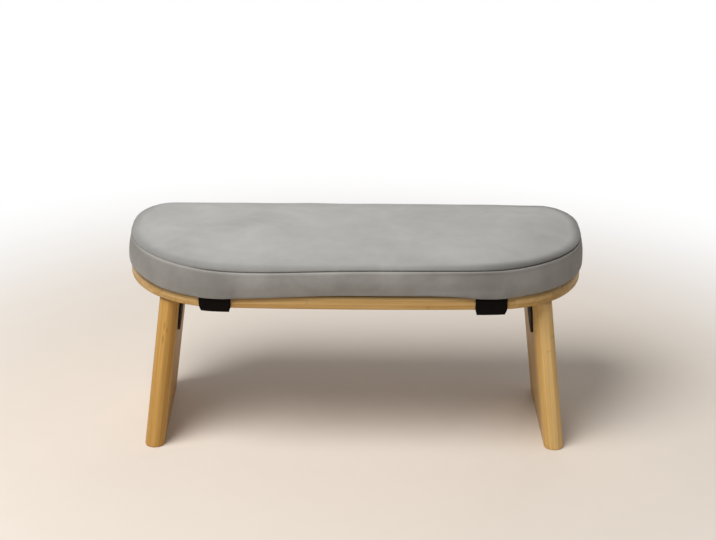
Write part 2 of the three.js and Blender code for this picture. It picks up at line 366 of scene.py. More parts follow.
def bamboo_group():
    """The shade is a weighted sum of the strip's own tone, the streaks and the fibres, less
    an offset. It mixes the deep and the pale colour, and joints and glue lines darken that.
    A joint lies where the count of periods passes a half, and glue where the count of
    strips or layers passes a whole number."""
    tree, start, end = new_group(
        "bamboo_strips",
        {
            "Vector": VECTOR,
            "Strip Width": VALUE,
            "Layer Thickness": VALUE,
            "Pale": COLOUR,
            "Deep": COLOUR,
        },
        finish_outputs,
    )
    given = start.outputs
    length, across, through = node(tree, "ShaderNodeSeparateXYZ", {0: given["Vector"]}).outputs

    # Which strip and which layer a point is in. Each layer is laid half a strip over.
    layer = calc(tree, "DIVIDE", through, given["Layer Thickness"])
    layer_number = calc(tree, "FLOOR", layer)
    strip = calc(tree, "DIVIDE", across, given["Strip Width"])
    strip = calc(tree, "MULTIPLY_ADD", layer_number, 0.5, strip)
    cell = joined(tree, calc(tree, "FLOOR", strip), layer_number)
    dice = node(tree, "ShaderNodeTexWhiteNoise", {"Vector": cell}, noise_dimensions="3D").outputs
    phase = node(tree, "ShaderNodeSeparateColor", {0: dice["Color"]}).outputs["Green"]

    # Long streaks a few millimetres wide, and fibres of a few tenths. Each strip's grain is
    # shifted along by its own phase.
    shifted = calc(tree, "MULTIPLY_ADD", phase, strip_shift, length)
    grain = joined(tree, shifted, across, through)
    streak = vector_calc(tree, "MULTIPLY", grain, streak_waves)
    streak = noise(tree, streak, 1.0, streak_detail, streak_roughness)
    fibre = noise(tree, vector_calc(tree, "MULTIPLY", grain, fibre_waves), 1.0)

    def from_half(count):
        """How far the fraction of a count is from one half."""
        fraction = calc(tree, "FRACT", count)
        return calc(tree, "ABSOLUTE", calc(tree, "SUBTRACT", fraction, 0.5))

    def glue_line(count, size):
        """One at a whole number, falling to nothing over the width of the glue."""
        near = calc(tree, "MULTIPLY", calc(tree, "SUBTRACT", 0.5, from_half(count)), size)
        return ramp(tree, near, 0.0, glue_width, 1.0, 0.0, "LINEAR")

    # Growth joints are thin dark rings, made wavy by a noise. Glue shows between strips and
    # between layers.
    ripple = calc(tree, "SUBTRACT", noise(tree, grain, ripple_waves), 0.5)
    wavy = calc(tree, "MULTIPLY_ADD", ripple, joint_wobble, shifted)
    from_joint = from_half(calc(tree, "DIVIDE", wavy, grain_period))
    joint = ramp(tree, from_joint, 0.0, joint_width / grain_period, 1.0, 0.0)
    between_strips = glue_line(strip, given["Strip Width"])
    glue = calc(tree, "MAXIMUM", between_strips, glue_line(layer, given["Layer Thickness"]))

    shade = calc(tree, "MULTIPLY_ADD", dice["Value"], strip_share, -shade_offset)
    shade = calc(tree, "MULTIPLY_ADD", streak, streak_share, shade)
    shade = calc(tree, "MULTIPLY_ADD", fibre, fibre_share, shade)
    wood = mixed(tree, shade, given["Deep"], given["Pale"])
    wood = mixed(tree, calc(tree, "MULTIPLY", joint, joint_share), wood, joint_brown)
    wood = mixed(tree, calc(tree, "MULTIPLY", glue, glue_share), wood, glue_brown)
    rough = calc(tree, "MULTIPLY_ADD", fibre, fibre_rough, wood_rough)
    relief = calc(tree, "MULTIPLY", fibre, fibre_relief)
    height = calc(tree, "SUBTRACT", relief, calc(tree, "MAXIMUM", glue, joint))
    plug(tree, end, Color=wood, Roughness=rough, Height=height)
    return tree


bamboo_strips = bamboo_group()
print("group", bamboo_strips.name, "with", len(bamboo_strips.nodes), "nodes")

# %% [markdown]
# The wood is sanded smooth and lacquered. A thin clear coat over a rougher base gives that: the
# base keeps its soft grain, and the coat mirrors the floor where it is seen at a low angle.
# Shade is painted into the wood: darker under the cushion's hem, at the board's round ends and
# under the board at the top of each leg. The pieces store how much painted shade each of their
# points has, and the material reads it. The left leg's front also shows growth joints that were cut
# lengthwise, as three short dark streaks.

# %% Bamboo for the board and for each leg
strip_width = 20 * MM
layer_thickness = 5 * MM
board_pale, board_deep = (0.685, 0.466, 0.198, 1), (0.400, 0.222, 0.065, 1)
honey_pale, honey_deep = (0.67, 0.405, 0.124, 1), (0.38, 0.188, 0.037, 1)
straw_pale, straw_deep = (0.845, 0.590, 0.256, 1), (0.525, 0.300, 0.081, 1)
# The dark brown that painted shade mixes into the wood.
painted_shade_wood = (0.06, 0.04, 0.025, 1)

cut_places = [((-193.3, -70, 138), 7), ((-195.6, -70, 123), 8), ((-191.2, -70, 133), 5)]
cut_width, cut_depth, cut_lean = 1.5 * MM, 9 * MM, 0.12
cut_strength, cut_brown = 0.5, (0.20, 0.085, 0.020, 1)
ragged_waves, ragged_detail, ragged_size = 420, 3.0, 1.6 * MM


def cut_joint(tree, wood, place, size):
    """A growth joint cut lengthwise leaves a short dark streak. Its strength falls from its
    full value to nothing with the length of the way from its middle, measured in its sizes.
    The way leans a little, and a noise makes it ragged."""
    point = node(tree, "ShaderNodeTexCoord").outputs["Object"]
    away = vector_calc(tree, "SUBTRACT", point, place)
    x, y, z = node(tree, "ShaderNodeSeparateXYZ", {0: away}).outputs
    ragged = calc(tree, "SUBTRACT", noise(tree, point, ragged_waves, ragged_detail), 0.5)
    x = calc(tree, "MULTIPLY_ADD", z, -cut_lean, x)
    x = calc(tree, "MULTIPLY_ADD", ragged, ragged_size, x)
    scaled = [calc(tree, "DIVIDE", part, most) for part, most in zip((x, y, z), size)]
    way = vector_calc(tree, "LENGTH", joined(tree, *scaled), output="Value")
    return mixed(tree, ramp(tree, way, 0.0, 1.0, cut_strength, 0.0), wood, cut_brown)


def bamboo(name, pale, deep, turn=(0, 0, 0), shift=(0, 0, 0), cuts=()):
    """Lacquered bamboo. The turn and shift lay the group's axes along the piece."""
    material, tree, shader = new_material(
        name, Coat_Weight=0.05, Coat_Roughness=0.16, Specular_IOR_Level=0.14
    )
    values = {
        "Vector": object_space(tree, turn, shift),
        "Strip Width": strip_width,
        "Layer Thickness": layer_thickness,
        "Pale": pale,
        "Deep": deep,
    }
    strips = node(tree, "ShaderNodeGroup", values, node_tree=bamboo_strips).outputs
    wood = strips["Color"]
    for place, half_height in cuts:
        size = (cut_width, cut_depth, half_height * MM)
        wood = cut_joint(tree, wood, [part * MM for part in place], size)
    # Painted shade: the stored number mixes the wood towards a dark brown under the hem, at the
    # board's ends and at the legs' heads.
    wood = mixed(tree, stored(tree, "painted_shade"), wood, painted_shade_wood)
    plug(tree, shader, Base_Color=wood, Roughness=strips["Roughness"])
    plug_bump(tree, shader, strips["Height"], strength=0.35, distance=0.06 * MM)
    return material


board_bamboo = bamboo("bamboo_board", board_pale, board_deep, shift=(0, 0, -seat_bottom))
print("bamboo strips", round(strip_width / MM), "mm wide")

# %% [markdown]
# ## The seat board
# A plate 15 mm thick with its edges eased all round. An outline curve with a bevel would give
# that too, but with rings the side also gets rows of points, which say later where shade is
# painted on its wood. They go from the middle of the underside out to the edge, round it, and back
# to the middle of the top.

# %% Make the board
board_edge_round = 3 * MM
board_foot_round = 1.6 * MM
board_round_steps = 7
board_side_steps = 9
flat_shares = [0.2, 0.5, 0.8, 0.94]


def board_rings():
    """Under the board, then up its edge: the inset and rise of a quarter round below and
    the same above, read backwards, with the two flats drawn in to shares of the outline."""
    edge = quarter_round(board_edge_round, board_round_steps)
    foot = quarter_round(board_foot_round, board_round_steps)
    low, high = seat_bottom + board_foot_round, seat_top - board_edge_round
    side = np.linspace(low, high, board_side_steps)
    rows = [(-inset, seat_bottom + rise) for inset, rise in foot]
    rows += [(0, height) for height in side[1:-1]]
    rows += [(-inset, seat_top - rise) for inset, rise in edge[::-1]]
    rings = [seat_ring(-board_edge_round, seat_bottom, share) for share in flat_shares]
    rings += [seat_ring(offset, height) for offset, height in rows]
    rings += [seat_ring(-board_edge_round, seat_top, share) for share in flat_shares[::-1]]
    return rings


board = mesh_piece("board", *skin(board_rings()), "seat", board_bamboo)
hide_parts("seat_board")
print("board with", len(board.data.polygons), "faces")

# %% [markdown]
# ## The legs
# Each leg is a slab whose level section is a long bar with half-round ends. The slab leans
# outwards, so its section slides along x on the way down, and both ends are cut level. A
# bevelled box that is turned would not have level ends, so this one is drawn from rings too.
# The left slab is a darker honey and the right one paler, as they come from other strips.

# %% Sizes of the legs
splay = math.radians(7)
leg_thickness = 20 * MM
leg_end_round = 1.6 * MM
pin_from_wood = 5.05 * MM
leg_round_steps = 5
bullnose_steps = 28

leg_low, leg_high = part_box("leg_right")
pin_low, pin_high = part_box("hinge_right_front_pin")
pivot_x = (pin_low.x + pin_high.x) / 2
pivot_z = (pin_low.z + pin_high.z) / 2
leg_depth = leg_high.y - leg_low.y
leg_middle = (leg_high.y + leg_low.y) / 2
print("legs", round(leg_high.z - leg_low.z, 4), "high and", round(leg_depth, 4), "deep")

# %% Rings of a leg
# Painted shade on the legs: strong right under the board, and a faint one reaching further down,
# more on the right leg.
head_shade, head_shade_reach = 0.5, 4.5 * MM
upper_shade_left, upper_shade_right, upper_shade_reach = 0.05, 0.15, 52 * MM
leg_head_shares = [1.0, 0.75, 0.5, 0.25, 0.087, 0.043]


def leg_ring(side, inset, height):
    """A level section: a half circle of radius half the thickness less the inset at each
    end of a straight bar, stretched in x by one over the cosine of the lean, and moved in x
    by the tangent of the lean times the height below the pin."""
    radius = leg_thickness / 2 - inset
    straight = leg_depth / 2 - leg_thickness / 2
    half = np.linspace(0, math.pi, bullnose_steps + 1)
    angle = np.concatenate([half, half + math.pi])
    end = np.repeat([straight, -straight], bullnose_steps + 1)
    middle = (pin_from_wood + leg_thickness / 2) / math.cos(splay)
    middle += (pivot_z - height) * math.tan(splay)
    x = pivot_x + middle + radius * np.cos(angle) / math.cos(splay)
    y = end + radius * np.sin(angle)
    flat = np.column_stack([x, y]) * side + [0, leg_middle]
    return np.column_stack([flat, np.full(len(flat), height)])


def leg_rings(side):
    """The rounded foot, the plain length and the rounded head, closed by level ends. The
    plain length has more rings near its head, over which the painted shade fades in."""
    edge = quarter_round(leg_end_round, leg_round_steps)
    rows = [(inset, leg_low.z + rise) for inset, rise in edge]
    rows += [(0, leg_high.z - share * upper_shade_reach) for share in leg_head_shares]
    rows += [(inset, leg_high.z - rise) for inset, rise in edge[::-1]]
    return np.array([leg_ring(side, inset, height) for inset, height in rows])


def leg_painted_shade(rings, upper):
    """The painted shade under the board right at the head, and a faint painted shade further
    down, each going to nothing over its own reach."""
    from_head = leg_high.z - rings[..., 2]
    head = head_shade * (1 - smooth_step(from_head, 0, head_shade_reach))
    return head + upper * (1 - smooth_step(from_head, 0, upper_shade_reach))


# %% Make both legs
grain_forward, grain_sideways = 110 * MM, 4 * MM
leg_looks = (
    ("left", -1, (honey_pale, honey_deep), cut_places, upper_shade_left),
    ("right", 1, (straw_pale, straw_deep), (), upper_shade_right),
)

for side_name, side, tones, cuts, upper in leg_looks:
    lean = math.pi / 2 + side * splay
    face = Vector((side * (pivot_x + pin_from_wood / math.cos(splay)), 0, pivot_z))
    through = -face.x * math.sin(lean) + face.z * math.cos(lean)
    shift = (side * grain_forward, grain_sideways, -through)
    finish = bamboo(f"bamboo_leg_{side_name}", *tones, (0, lean, 0), shift, cuts)
    rings = leg_rings(side)
    slab = mesh_piece(f"slab_{side_name}", *skin(rings), f"{side_name}_leg", finish)
    # Stores the painted shade under the board for each point of the leg.
    store(slab, "painted_shade", leg_painted_shade(rings, upper))
    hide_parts(f"leg_{side_name}")
    print(slab.name, "with", len(slab.data.polygons), "faces")

# %% [markdown]
# ## Painted steel
# Hinges and screws have a thin satin paint, a brown that is nearly black. Up close it is not
# quite smooth: a fine pebbled skin with dust in patches, which is paler and rougher. The
# screws are a little greyer and cleaner than the leaves. Two separate materials could drift
# apart, so both take colour, roughness and pebbles from one group with their own values.

# %% The paint group and its two finishes
pebble_waves = 2600
dust_waves, dust_detail = 90, 4.0
dust_colour, dust_cover = (0.3, 0.25, 0.2, 1), 0.12
paint_rough, dust_rough = 0.62, 0.4


def paint_group():
    """The dust is a noise times the Dust input. A share of it covers the base colour, and
    the roughness grows with it. The height is a fine noise."""
    tree, start, end = new_group(
        "satin_paint", {"Vector": VECTOR, "Base": COLOUR, "Dust": VALUE}, finish_outputs
    )
    given = start.outputs
    patch = noise(tree, given["Vector"], dust_waves, dust_detail)
    dusty = calc(tree, "MULTIPLY", patch, given["Dust"])
    cover = calc(tree, "MULTIPLY", dusty, dust_cover)
    colour = mixed(tree, cover, given["Base"], dust_colour)
    rough = calc(tree, "MULTIPLY_ADD", dusty, dust_rough, paint_rough)
    pebbles = noise(tree, given["Vector"], pebble_waves)
    plug(tree, end, Color=colour, Roughness=rough, Height=pebbles)
    return tree


satin_paint = paint_group()


def painted(name, base, dust):
    """Steel with the paint group's colour, roughness and pebbles."""
    material, tree, shader = new_material(name, Specular_IOR_Level=0.05)
    values = {"Vector": object_space(tree), "Base": base, "Dust": dust}
    paint = node(tree, "ShaderNodeGroup", values, node_tree=satin_paint).outputs
    plug(tree, shader, Base_Color=paint["Color"], Roughness=paint["Roughness"])
    plug_bump(tree, shader, paint["Height"], strength=0.25, distance=0.02 * MM)
    return material


black_steel = painted("black_steel", base=(0.020, 0.011, 0.005, 1), dust=0.30)
black_screw = painted("black_screw", base=(0.020, 0.018, 0.017, 1), dust=0.15)
print("two finishes share", satin_paint.name)

# %% [markdown]
# ## Butt hinges
# Each leg turns on two hinges. A hinge is two tapered leaves whose edges roll into a barrel of
# five knuckles round a pin: three knuckles belong to the seat's leaf and two to the leg's.
# The leaf is cut from a plate with its countersinks, so here a Boolean does what a drill does,
# and a Bevel breaks the sharp edges, which is what catches the light on real steel.

# %% Sizes of a hinge
knuckle_count = 5
barrel_radius = 4.75 * MM
leaf_thickness = 2 * MM
leaf_reach = 45 * MM
leaf_shoulder = 12 * MM
leaf_tip_radius = 12 * MM
pin_radius = 2.5 * MM
pin_head_radius = 3.8 * MM
pin_head_height = 1.4 * MM
running_gap = 0.3 * MM
overrun = 1 * MM
barrel_steps = 40
tip_steps = 20
dome_steps = 6

pin_y = (pin_low.y + pin_high.y) / 2
hinge_length = pin_high.y - pin_low.y - 2 * pin_head_height - 2 * running_gap
print("hinge", round(hinge_length / MM, 2), "mm long, pin at", round(pivot_x, 5), round(pivot_z, 5))

# %% Turned shapes


def turned(profile, steps, axis="Z"):
    """A lathe: each row of radius and height becomes a circle of radius times cosine and
    sine at that height, along z or laid along y."""
    angle = 2 * math.pi * np.arange(steps) / steps
    circle = np.column_stack([np.cos(angle), np.sin(angle)])
    rings = [
        np.column_stack([circle * radius, np.full(steps, height)]) for radius, height in profile
    ]
    points, faces = skin(rings)
    if axis == "Y":
        points = points[:, [0, 2, 1]] * [1, 1, -1]
    return points, faces


def helper(points, faces):
    """A mesh object that only serves as a cutter or as raw stock."""
    return in_scene("helper", new_mesh("helper", points, faces))


def after_modifiers(thing):
    """The mesh that an object's modifiers make of it."""
    graph = bpy.context.evaluated_depsgraph_get()
    return bpy.data.meshes.new_from_object(thing.evaluated_get(graph))


def carve(stock, steps):
    """Runs Boolean modifiers on the stock one after another and keeps the result as a mesh."""
    for operation, other in steps:
        modifier = stock.modifiers.new("cut", "BOOLEAN")
        modifier.operation = operation
        modifier.object = other
        modifier.solver = "EXACT"
    made = after_modifiers(stock)
    for thing in [stock] + [other for _, other in steps]:
        bpy.data.objects.remove(thing)
    return made


# %% Wood screws with a cross recess
screw_length = 14 * MM
screw_head_radius = 3.5 * MM
screw_head_depth = 1.7 * MM
screw_head_lip = 0.3 * MM
screw_shank_radius = 1.75 * MM
screw_tip_length = 3 * MM
screw_tip_radius = 0.4 * MM
cross_width = 1 * MM
cross_length = 4.2 * MM
cross_depth = 0.9 * MM
thread_pitch = 1.3 * MM
thread_depth = 0.28 * MM
thread_start = 4 * MM
screw_steps = 28


def box_points(size_x, size_y, low, high):
    """The corners and faces of a box whose high end is half as wide as its low end."""
    corners = np.array([[-1, -1], [1, -1], [1, 1], [-1, 1]]) / 2
    bottom = np.column_stack([corners * [size_x, size_y], np.full(4, low)])
    top = np.column_stack([corners * [size_x / 2, size_y / 2], np.full(4, high)])
    faces = [[3, 2, 1, 0], [4, 5, 6, 7]]
    faces += [[i, (i + 1) % 4, (i + 1) % 4 + 4, i + 4] for i in range(4)]
    return np.vstack([bottom, top]), faces


def screw_mesh():
    """A countersunk head at z = 0, a shank with ridges every pitch, and a blunt tip. The
    cross is two tapering slots at right angles."""
    turns = int((screw_length - screw_tip_length - thread_start) / thread_pitch)
    profile = [(screw_head_radius, 0), (screw_head_radius, screw_head_lip)]
    profile += [(screw_shank_radius, screw_head_depth)]
    for turn in range(turns):
        low = thread_start + turn * thread_pitch
        profile += [(screw_shank_radius - thread_depth, low)]
        profile += [(screw_shank_radius, low + thread_pitch / 2)]
    profile += [(screw_shank_radius - thread_depth, screw_length - screw_tip_length)]
    profile += [(screw_tip_radius, screw_length)]
    stock = helper(*turned(profile, screw_steps))
    slot = box_points(cross_length, cross_width, -overrun, cross_depth)
    other = box_points(cross_width, cross_length, -overrun, cross_depth)
    return carve(stock, [("DIFFERENCE", helper(*slot)), ("DIFFERENCE", helper(*other))])


screw_shape = screw_mesh()
print("a screw has", len(screw_shape.polygons), "faces")

# %% Leaves, in their own frame
# The pin lies along y through the origin. The plate lies on top of the barrel and reaches
# towards minus x, and its upper face meets the wood.
screw_from_axis = 14.5 * MM
screw_from_end = 8 * MM


def screw_spots():
    """Two screws beside the barrel and one in the rounded tip, heads level with the leaf."""
    height = barrel_radius - leaf_thickness
    side = hinge_length / 2 - screw_from_end
    spots = [(-screw_from_axis, -side), (-screw_from_axis, side), (leaf_tip_radius - leaf_reach, 0)]
    return [Vector((x, y, height)) for x, y in spots]


def leaf_outline():
    """Straight shoulders, then a round tip joined by its tangents. The angle at which a
    tangent from a shoulder meets the tip is the shoulder's own angle seen from the tip less
    the arc cosine of the tip's radius over its distance."""
    half = hinge_length / 2
    tip = leaf_reach - leaf_tip_radius
    back = leaf_shoulder - tip
    tangent = math.atan2(half, back) - math.acos(leaf_tip_radius / math.hypot(half, back))
    angle = np.linspace(-tangent, tangent, tip_steps)
    arc = np.column_stack([tip + leaf_tip_radius * np.cos(angle), leaf_tip_radius * np.sin(angle)])
    corners = [[0, -half], [leaf_shoulder, -half]]
    points = np.vstack([corners, arc, [[leaf_shoulder, half], [0, half]]])
    return points * -1


def plate_points():
    """The outline at the plate's two heights, joined as two rings."""
    flat = leaf_outline()
    low, high = barrel_radius - leaf_thickness, barrel_radius
    return skin([np.column_stack([flat, np.full(len(flat), z)]) for z in (low, high)])


def at_spot(shape, spot):
    """The points of a shape moved to a spot, with the same faces."""
    points, faces = shape
    return points + np.array(spot), faces


def round_bar(radius, low, high):
    """A bar along y from low to high, as a cutter or as stock for a knuckle."""
    return helper(*turned([(radius, -high), (radius, -low)], barrel_steps, "Y"))


def leaf_mesh(parity):
    """The plate joined to its own knuckles, less the gaps for the other leaf's knuckles,
    the pin's bore and the three countersinks."""
    joins, cuts = [], []
    for knuckle in range(knuckle_count):
        low = hinge_length * (knuckle / knuckle_count - 1 / 2)
        high = low + hinge_length / knuckle_count
        if knuckle % 2 == parity:
            joins.append(("UNION", round_bar(barrel_radius, low, high)))
        else:
            ends = (low - running_gap / 2, high + running_gap / 2)
            cuts.append(("DIFFERENCE", round_bar(barrel_radius + running_gap, *ends)))
    reach = hinge_length / 2 + overrun
    cuts.append(("DIFFERENCE", round_bar(pin_radius + running_gap, -reach, reach)))
    wide = screw_head_radius + running_gap
    narrow = screw_shank_radius + running_gap
    sink = [(wide, -overrun), (wide, screw_head_lip), (narrow, screw_head_depth)]
    sink += [(narrow, leaf_thickness + overrun)]
    for spot in screw_spots():
        cuts.append(("DIFFERENCE", helper(*at_spot(turned(sink, screw_steps), spot))))
    return carve(helper(*plate_points()), joins + cuts)


def pin_profile():
    """A shank between two domed heads, each a quarter round."""
    half = hinge_length / 2 + running_gap
    top = half + pin_head_height
    dome = quarter_round(pin_head_height, dome_steps)
    rows = [(pin_radius, half)]
    rows += [(pin_head_radius - inset, top - rise) for inset, rise in dome[::-1]]
    return [(radius, -height) for radius, height in rows[::-1]] + rows


leaf_shapes = [leaf_mesh(0), leaf_mesh(1)]
print("leaves of", [len(shape.polygons) for shape in leaf_shapes], "faces")

# %% Hang the four hinges
screw_turn, leaf_turns, side_turns = math.radians(37), 3, 5
edge_break, edge_break_segments, edge_break_angle = 0.25 * MM, 2, math.radians(40)


def placed(name, source, place, body, finish, replaced):
    """A copy of a mesh with its place put into its points, so its object stays at the origin."""
    data = source.copy()
    data.name = name
    data.transform(place)
    piece = piece_from(name, data, body, finish)
    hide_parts(replaced)
    edge = piece.modifiers.new("broken_edge", "BEVEL")
    edge.width = edge_break
    edge.segments = edge_break_segments
    edge.limit_method = "ANGLE"
    edge.angle_limit = edge_break_angle
    edge.harden_normals = True


def hang_hinge(side_name, side, place_name, y):
    """Both leaves with their screws, and the pin. The left hinges are the right ones turned
    half round about z, and the leg's leaf is the seat's turned over and leant by the splay.
    Each screw is turned on by a different multiple of one angle, as hands leave them."""
    name = f"hinge_{side_name}_{place_name}"
    corner = Matrix.Translation((side * pivot_x, y, pivot_z))
    if side < 0:
        corner = corner @ Matrix.Rotation(math.pi, 4, "Z")
    lean = Matrix.Rotation(-splay - math.pi / 2, 4, "Y") @ Matrix.Rotation(math.pi, 4, "X")
    halves = (("seat", 0, corner, "seat"), ("leg", 1, corner @ lean, f"{side_name}_leg"))
    for half, parity, place, body in halves:
        part = f"{name}_{half}"
        leaf = leaf_shapes[parity]
        placed(f"{part}_plate", leaf, place, body, black_steel, f"{part}_leaf")
        for number, spot in enumerate(screw_spots(), 1):
            turns = number + leaf_turns * parity + side_turns * side
            turn = Matrix.Rotation(screw_turn * turns, 4, "Z")
            seat = place @ Matrix.Translation(spot) @ turn
            title = f"{part}_woodscrew_{number}"
            replaced = f"{part}_screw_{number}"
            placed(title, screw_shape, seat, body, black_screw, replaced)
    points, faces = turned(pin_profile(), barrel_steps, "Y")
    points = points + [side * pivot_x, y, pivot_z]
    pin = mesh_piece(f"{name}_rod", points, faces, "seat", black_steel)
    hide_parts(f"{name}_pin")


rear_low, rear_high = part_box("hinge_right_rear_pin")
hinge_places = (("front", pin_y), ("rear", (rear_low.y + rear_high.y) / 2))
for side_name, side in (("left", -1), ("right", 1)):
    for place_name, y in hinge_places:
        hang_hinge(side_name, side, place_name, y)
print("four hinges hung")

# %% [markdown]
# ## Elastic bands
# Woven elastic shows fine ribs across its length. Each band is a flattened ring of points swept
# down the front edge, under the board and up behind. In front it sags below the board, it
# flares a little at its top, and where it turns under the board its edges draw in, because
# elastic cups when it bends. A cloth simulation would lose the ribs, so the section is swept
# along a worked-out path with the ribs already in it.

# %% The elastic's finish
yarn_waves, yarn_roughness = 2300, 0.7
fuzz_waves, fuzz_detail = 160, 3.0
yarn_share, fuzz_share = 0.7, 0.4
elastic_rough, yarn_rough = 0.75, 0.15
elastic_dark, elastic_pale = (0.0022, 0.0016, 0.0013, 1), (0.0060, 0.0046, 0.0040, 1)


def elastic_material():
    """A weighted sum of a fine noise, the yarn, and a coarse one, the fuzz, mixes two near
    blacks. The yarn also makes the roughness and the height."""
    material, tree, shader = new_material("ribbed_elastic", Specular_IOR_Level=0.05)
    vector = object_space(tree)
    yarn = noise(tree, vector, yarn_waves, roughness=yarn_roughness)
    fuzz = calc(tree, "MULTIPLY", noise(tree, vector, fuzz_waves, fuzz_detail), fuzz_share)
    tone = calc(tree, "MULTIPLY_ADD", yarn, yarn_share, fuzz)
    rough = calc(tree, "MULTIPLY_ADD", yarn, yarn_rough, elastic_rough)
    colour = mixed(tree, tone, elastic_dark, elastic_pale)
    plug(tree, shader, Base_Color=colour, Roughness=rough)
    plug_bump(tree, shader, yarn, strength=0.5, distance=0.12 * MM)
    return material


ribbed_elastic = elastic_material()
print("finish", ribbed_elastic.name)

# %% The band's section and its way round the board
band_thickness = 1.5 * MM
band_bend = 4 * MM
band_clearance = 0.3 * MM
edge_steps = 5
face_steps = 10


def band_section():
    """The band's flat section as rows of side (-1 to 1 across the width), depth (0 on the
    inner face, 1 on the outer) and bulge: straight faces with half-round edges."""
    across = np.linspace(-1, 1, face_steps)
    turn = np.linspace(-math.pi / 2, math.pi / 2, edge_steps + 2)[1:-1]
    outer = np.column_stack([across, np.ones(face_steps), np.zeros(face_steps)])
    inner = np.column_stack([-across, np.zeros(face_steps), np.zeros(face_steps)])
    near = np.column_stack([np.ones(edge_steps), (1 - np.sin(turn)) / 2, np.cos(turn)])
    far = near * [-1, 1, -1]
    far[:, 1] = 1 - far[:, 1]
    return np.vstack([outer, near, inner, far])


def band_path(travel, x, depth, drop, top_z):
    """Where a point of the band lies after a travel along it: straight down the front edge,
    a quarter turn of radius bend plus depth, straight back under the board, another quarter
    turn, and straight up behind. The front edge is the board's own, read at x."""
    front = front_edge(x) - band_clearance
    under = seat_depth / 2 + band_clearance - front - 2 * band_bend
    quarter = band_bend * math.pi / 2
    run_start = drop + quarter
    run_end = run_start + under
    turn_1 = np.clip((travel - drop) / quarter, 0, 1) * math.pi / 2
    turn_2 = np.clip((travel - run_end) / quarter, 0, 1) * math.pi / 2
    run = np.clip(travel - run_start, 0, under)
    rise = np.maximum(travel - run_end - quarter, 0)
    radius = band_bend + depth
    y = front + band_bend + run - radius * np.cos(turn_1) + radius * np.sin(turn_2)
    z = top_z - np.minimum(travel, drop) - radius * np.sin(turn_1)
    return y, z + radius * (1 - np.cos(turn_2)) + rise


# %% Weave both bands
rib_pitch = 1.5 * MM
rib_depth = 0.13 * MM
rows_per_rib = 6
flare, flare_reach = 1.0 * MM, 14 * MM
sag_left, sag_right, sag_reach, sag_fade = 1.1 * MM, 2.3 * MM, 45 * MM, 12 * MM
cup_draw, cup_reach, cup_reach_under = 1.7 * MM, 3.6 * MM, 20 * MM


def weave_band(name, cad_node, sag):
    """Sweeps the section. A rib thins it on both faces by the rib's depth times the absolute
    cosine of half a turn for each pitch of travel. Sag, flare and the cupped edges are bells
    of the way back from the front edge. Returns the x of the band's middle."""
    low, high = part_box(cad_node)
    middle = (low.x + high.x) / 2
    flat_half = (high.x - low.x - band_thickness) / 2
    drop_z = low.z + band_thickness
    top_z = high.z
    drop = top_z - drop_z - band_bend
    run = seat_depth / 2 - front_edge(middle) + 2 * band_clearance - 2 * band_bend
    length = 2 * drop + math.pi * band_bend + run
    ribs = round(length / rib_pitch)
    travel = np.linspace(0, length, ribs * rows_per_rib + 1)[:, None]
    side, depth, bulge = band_section().T
    rib = rib_depth * np.abs(np.cos(math.pi * travel / rib_pitch))
    ribbed_depth = rib + (band_thickness - 2 * rib) * depth
    x = middle + side * flat_half + bulge * band_thickness / 2
    y, z = band_path(travel, x, ribbed_depth, drop, top_z)
    from_front = np.abs(y - front_edge(x))
    z = z - sag * smooth_step(top_z - z, 0, sag_fade) * bell(from_front, sag_reach)
    x = x + side * flare * bell(from_front, flare_reach)
    cup = bell(z - drop_z + sag, cup_reach) * bell(from_front, cup_reach_under)
    rings = np.stack([x - side * cup_draw * cup, y, z], axis=-1)
    band = mesh_piece(name, *skin(rings), "seat", ribbed_elastic)
    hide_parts(cad_node)
    print(name, "with", ribs, "ribs over", round(length / MM), "mm")
    return middle


left_band_x = weave_band("band_left", "strap_left", sag_left)
right_band_x = weave_band("band_right", "strap_right", sag_right)

# %% [markdown]
# ## Grey velvet
# Velvet is a short dense pile. Seen from straight on it looks dark, and at a low angle it
# lights up, which is what the Sheen of the Principled shader does. The pile is never combed
# evenly, so broad soft patches lean one way or the other and change the tone. The top panel
# and the side panel have their piles lying different ways, and the top is also painted paler,
# as light from above would make it. Shade is painted darker where the seam draws the cover in
# and where less light falls. Two numbers stored on the mesh tell the panels apart, with their
# painted light, and say how much painted shade lies on the pile.

# %% The velvet's finish
velvet_pale, velvet_deep = (0.292, 0.281, 0.262, 1), (0.188, 0.180, 0.167, 1)
# The top's colours are painted paler than the side's: light from above, on top of a different nap.
top_pale, top_deep = (0.412, 0.409, 0.400, 1), (0.322, 0.319, 0.310, 1)
# The colour that painted shade mixes into the velvet.
painted_shade_velvet = (0.055, 0.053, 0.050, 1)
warp_waves, warp_size = 11, 0.05
stroke_waves, stroke_detail, stroke_roughness = 17, 4.0, 0.55
mottle_waves, mottle_detail = 60, 3.0
tuft_waves, tuft_detail = 700, 3.0
pile_waves = 3200
stroke_share, stroke_offset, mottle_share, pile_share = 1.7, 0.35, 0.8, 0.5
velvet_rough, stroke_rough = 0.82, 0.1
tuft_relief = 0.6


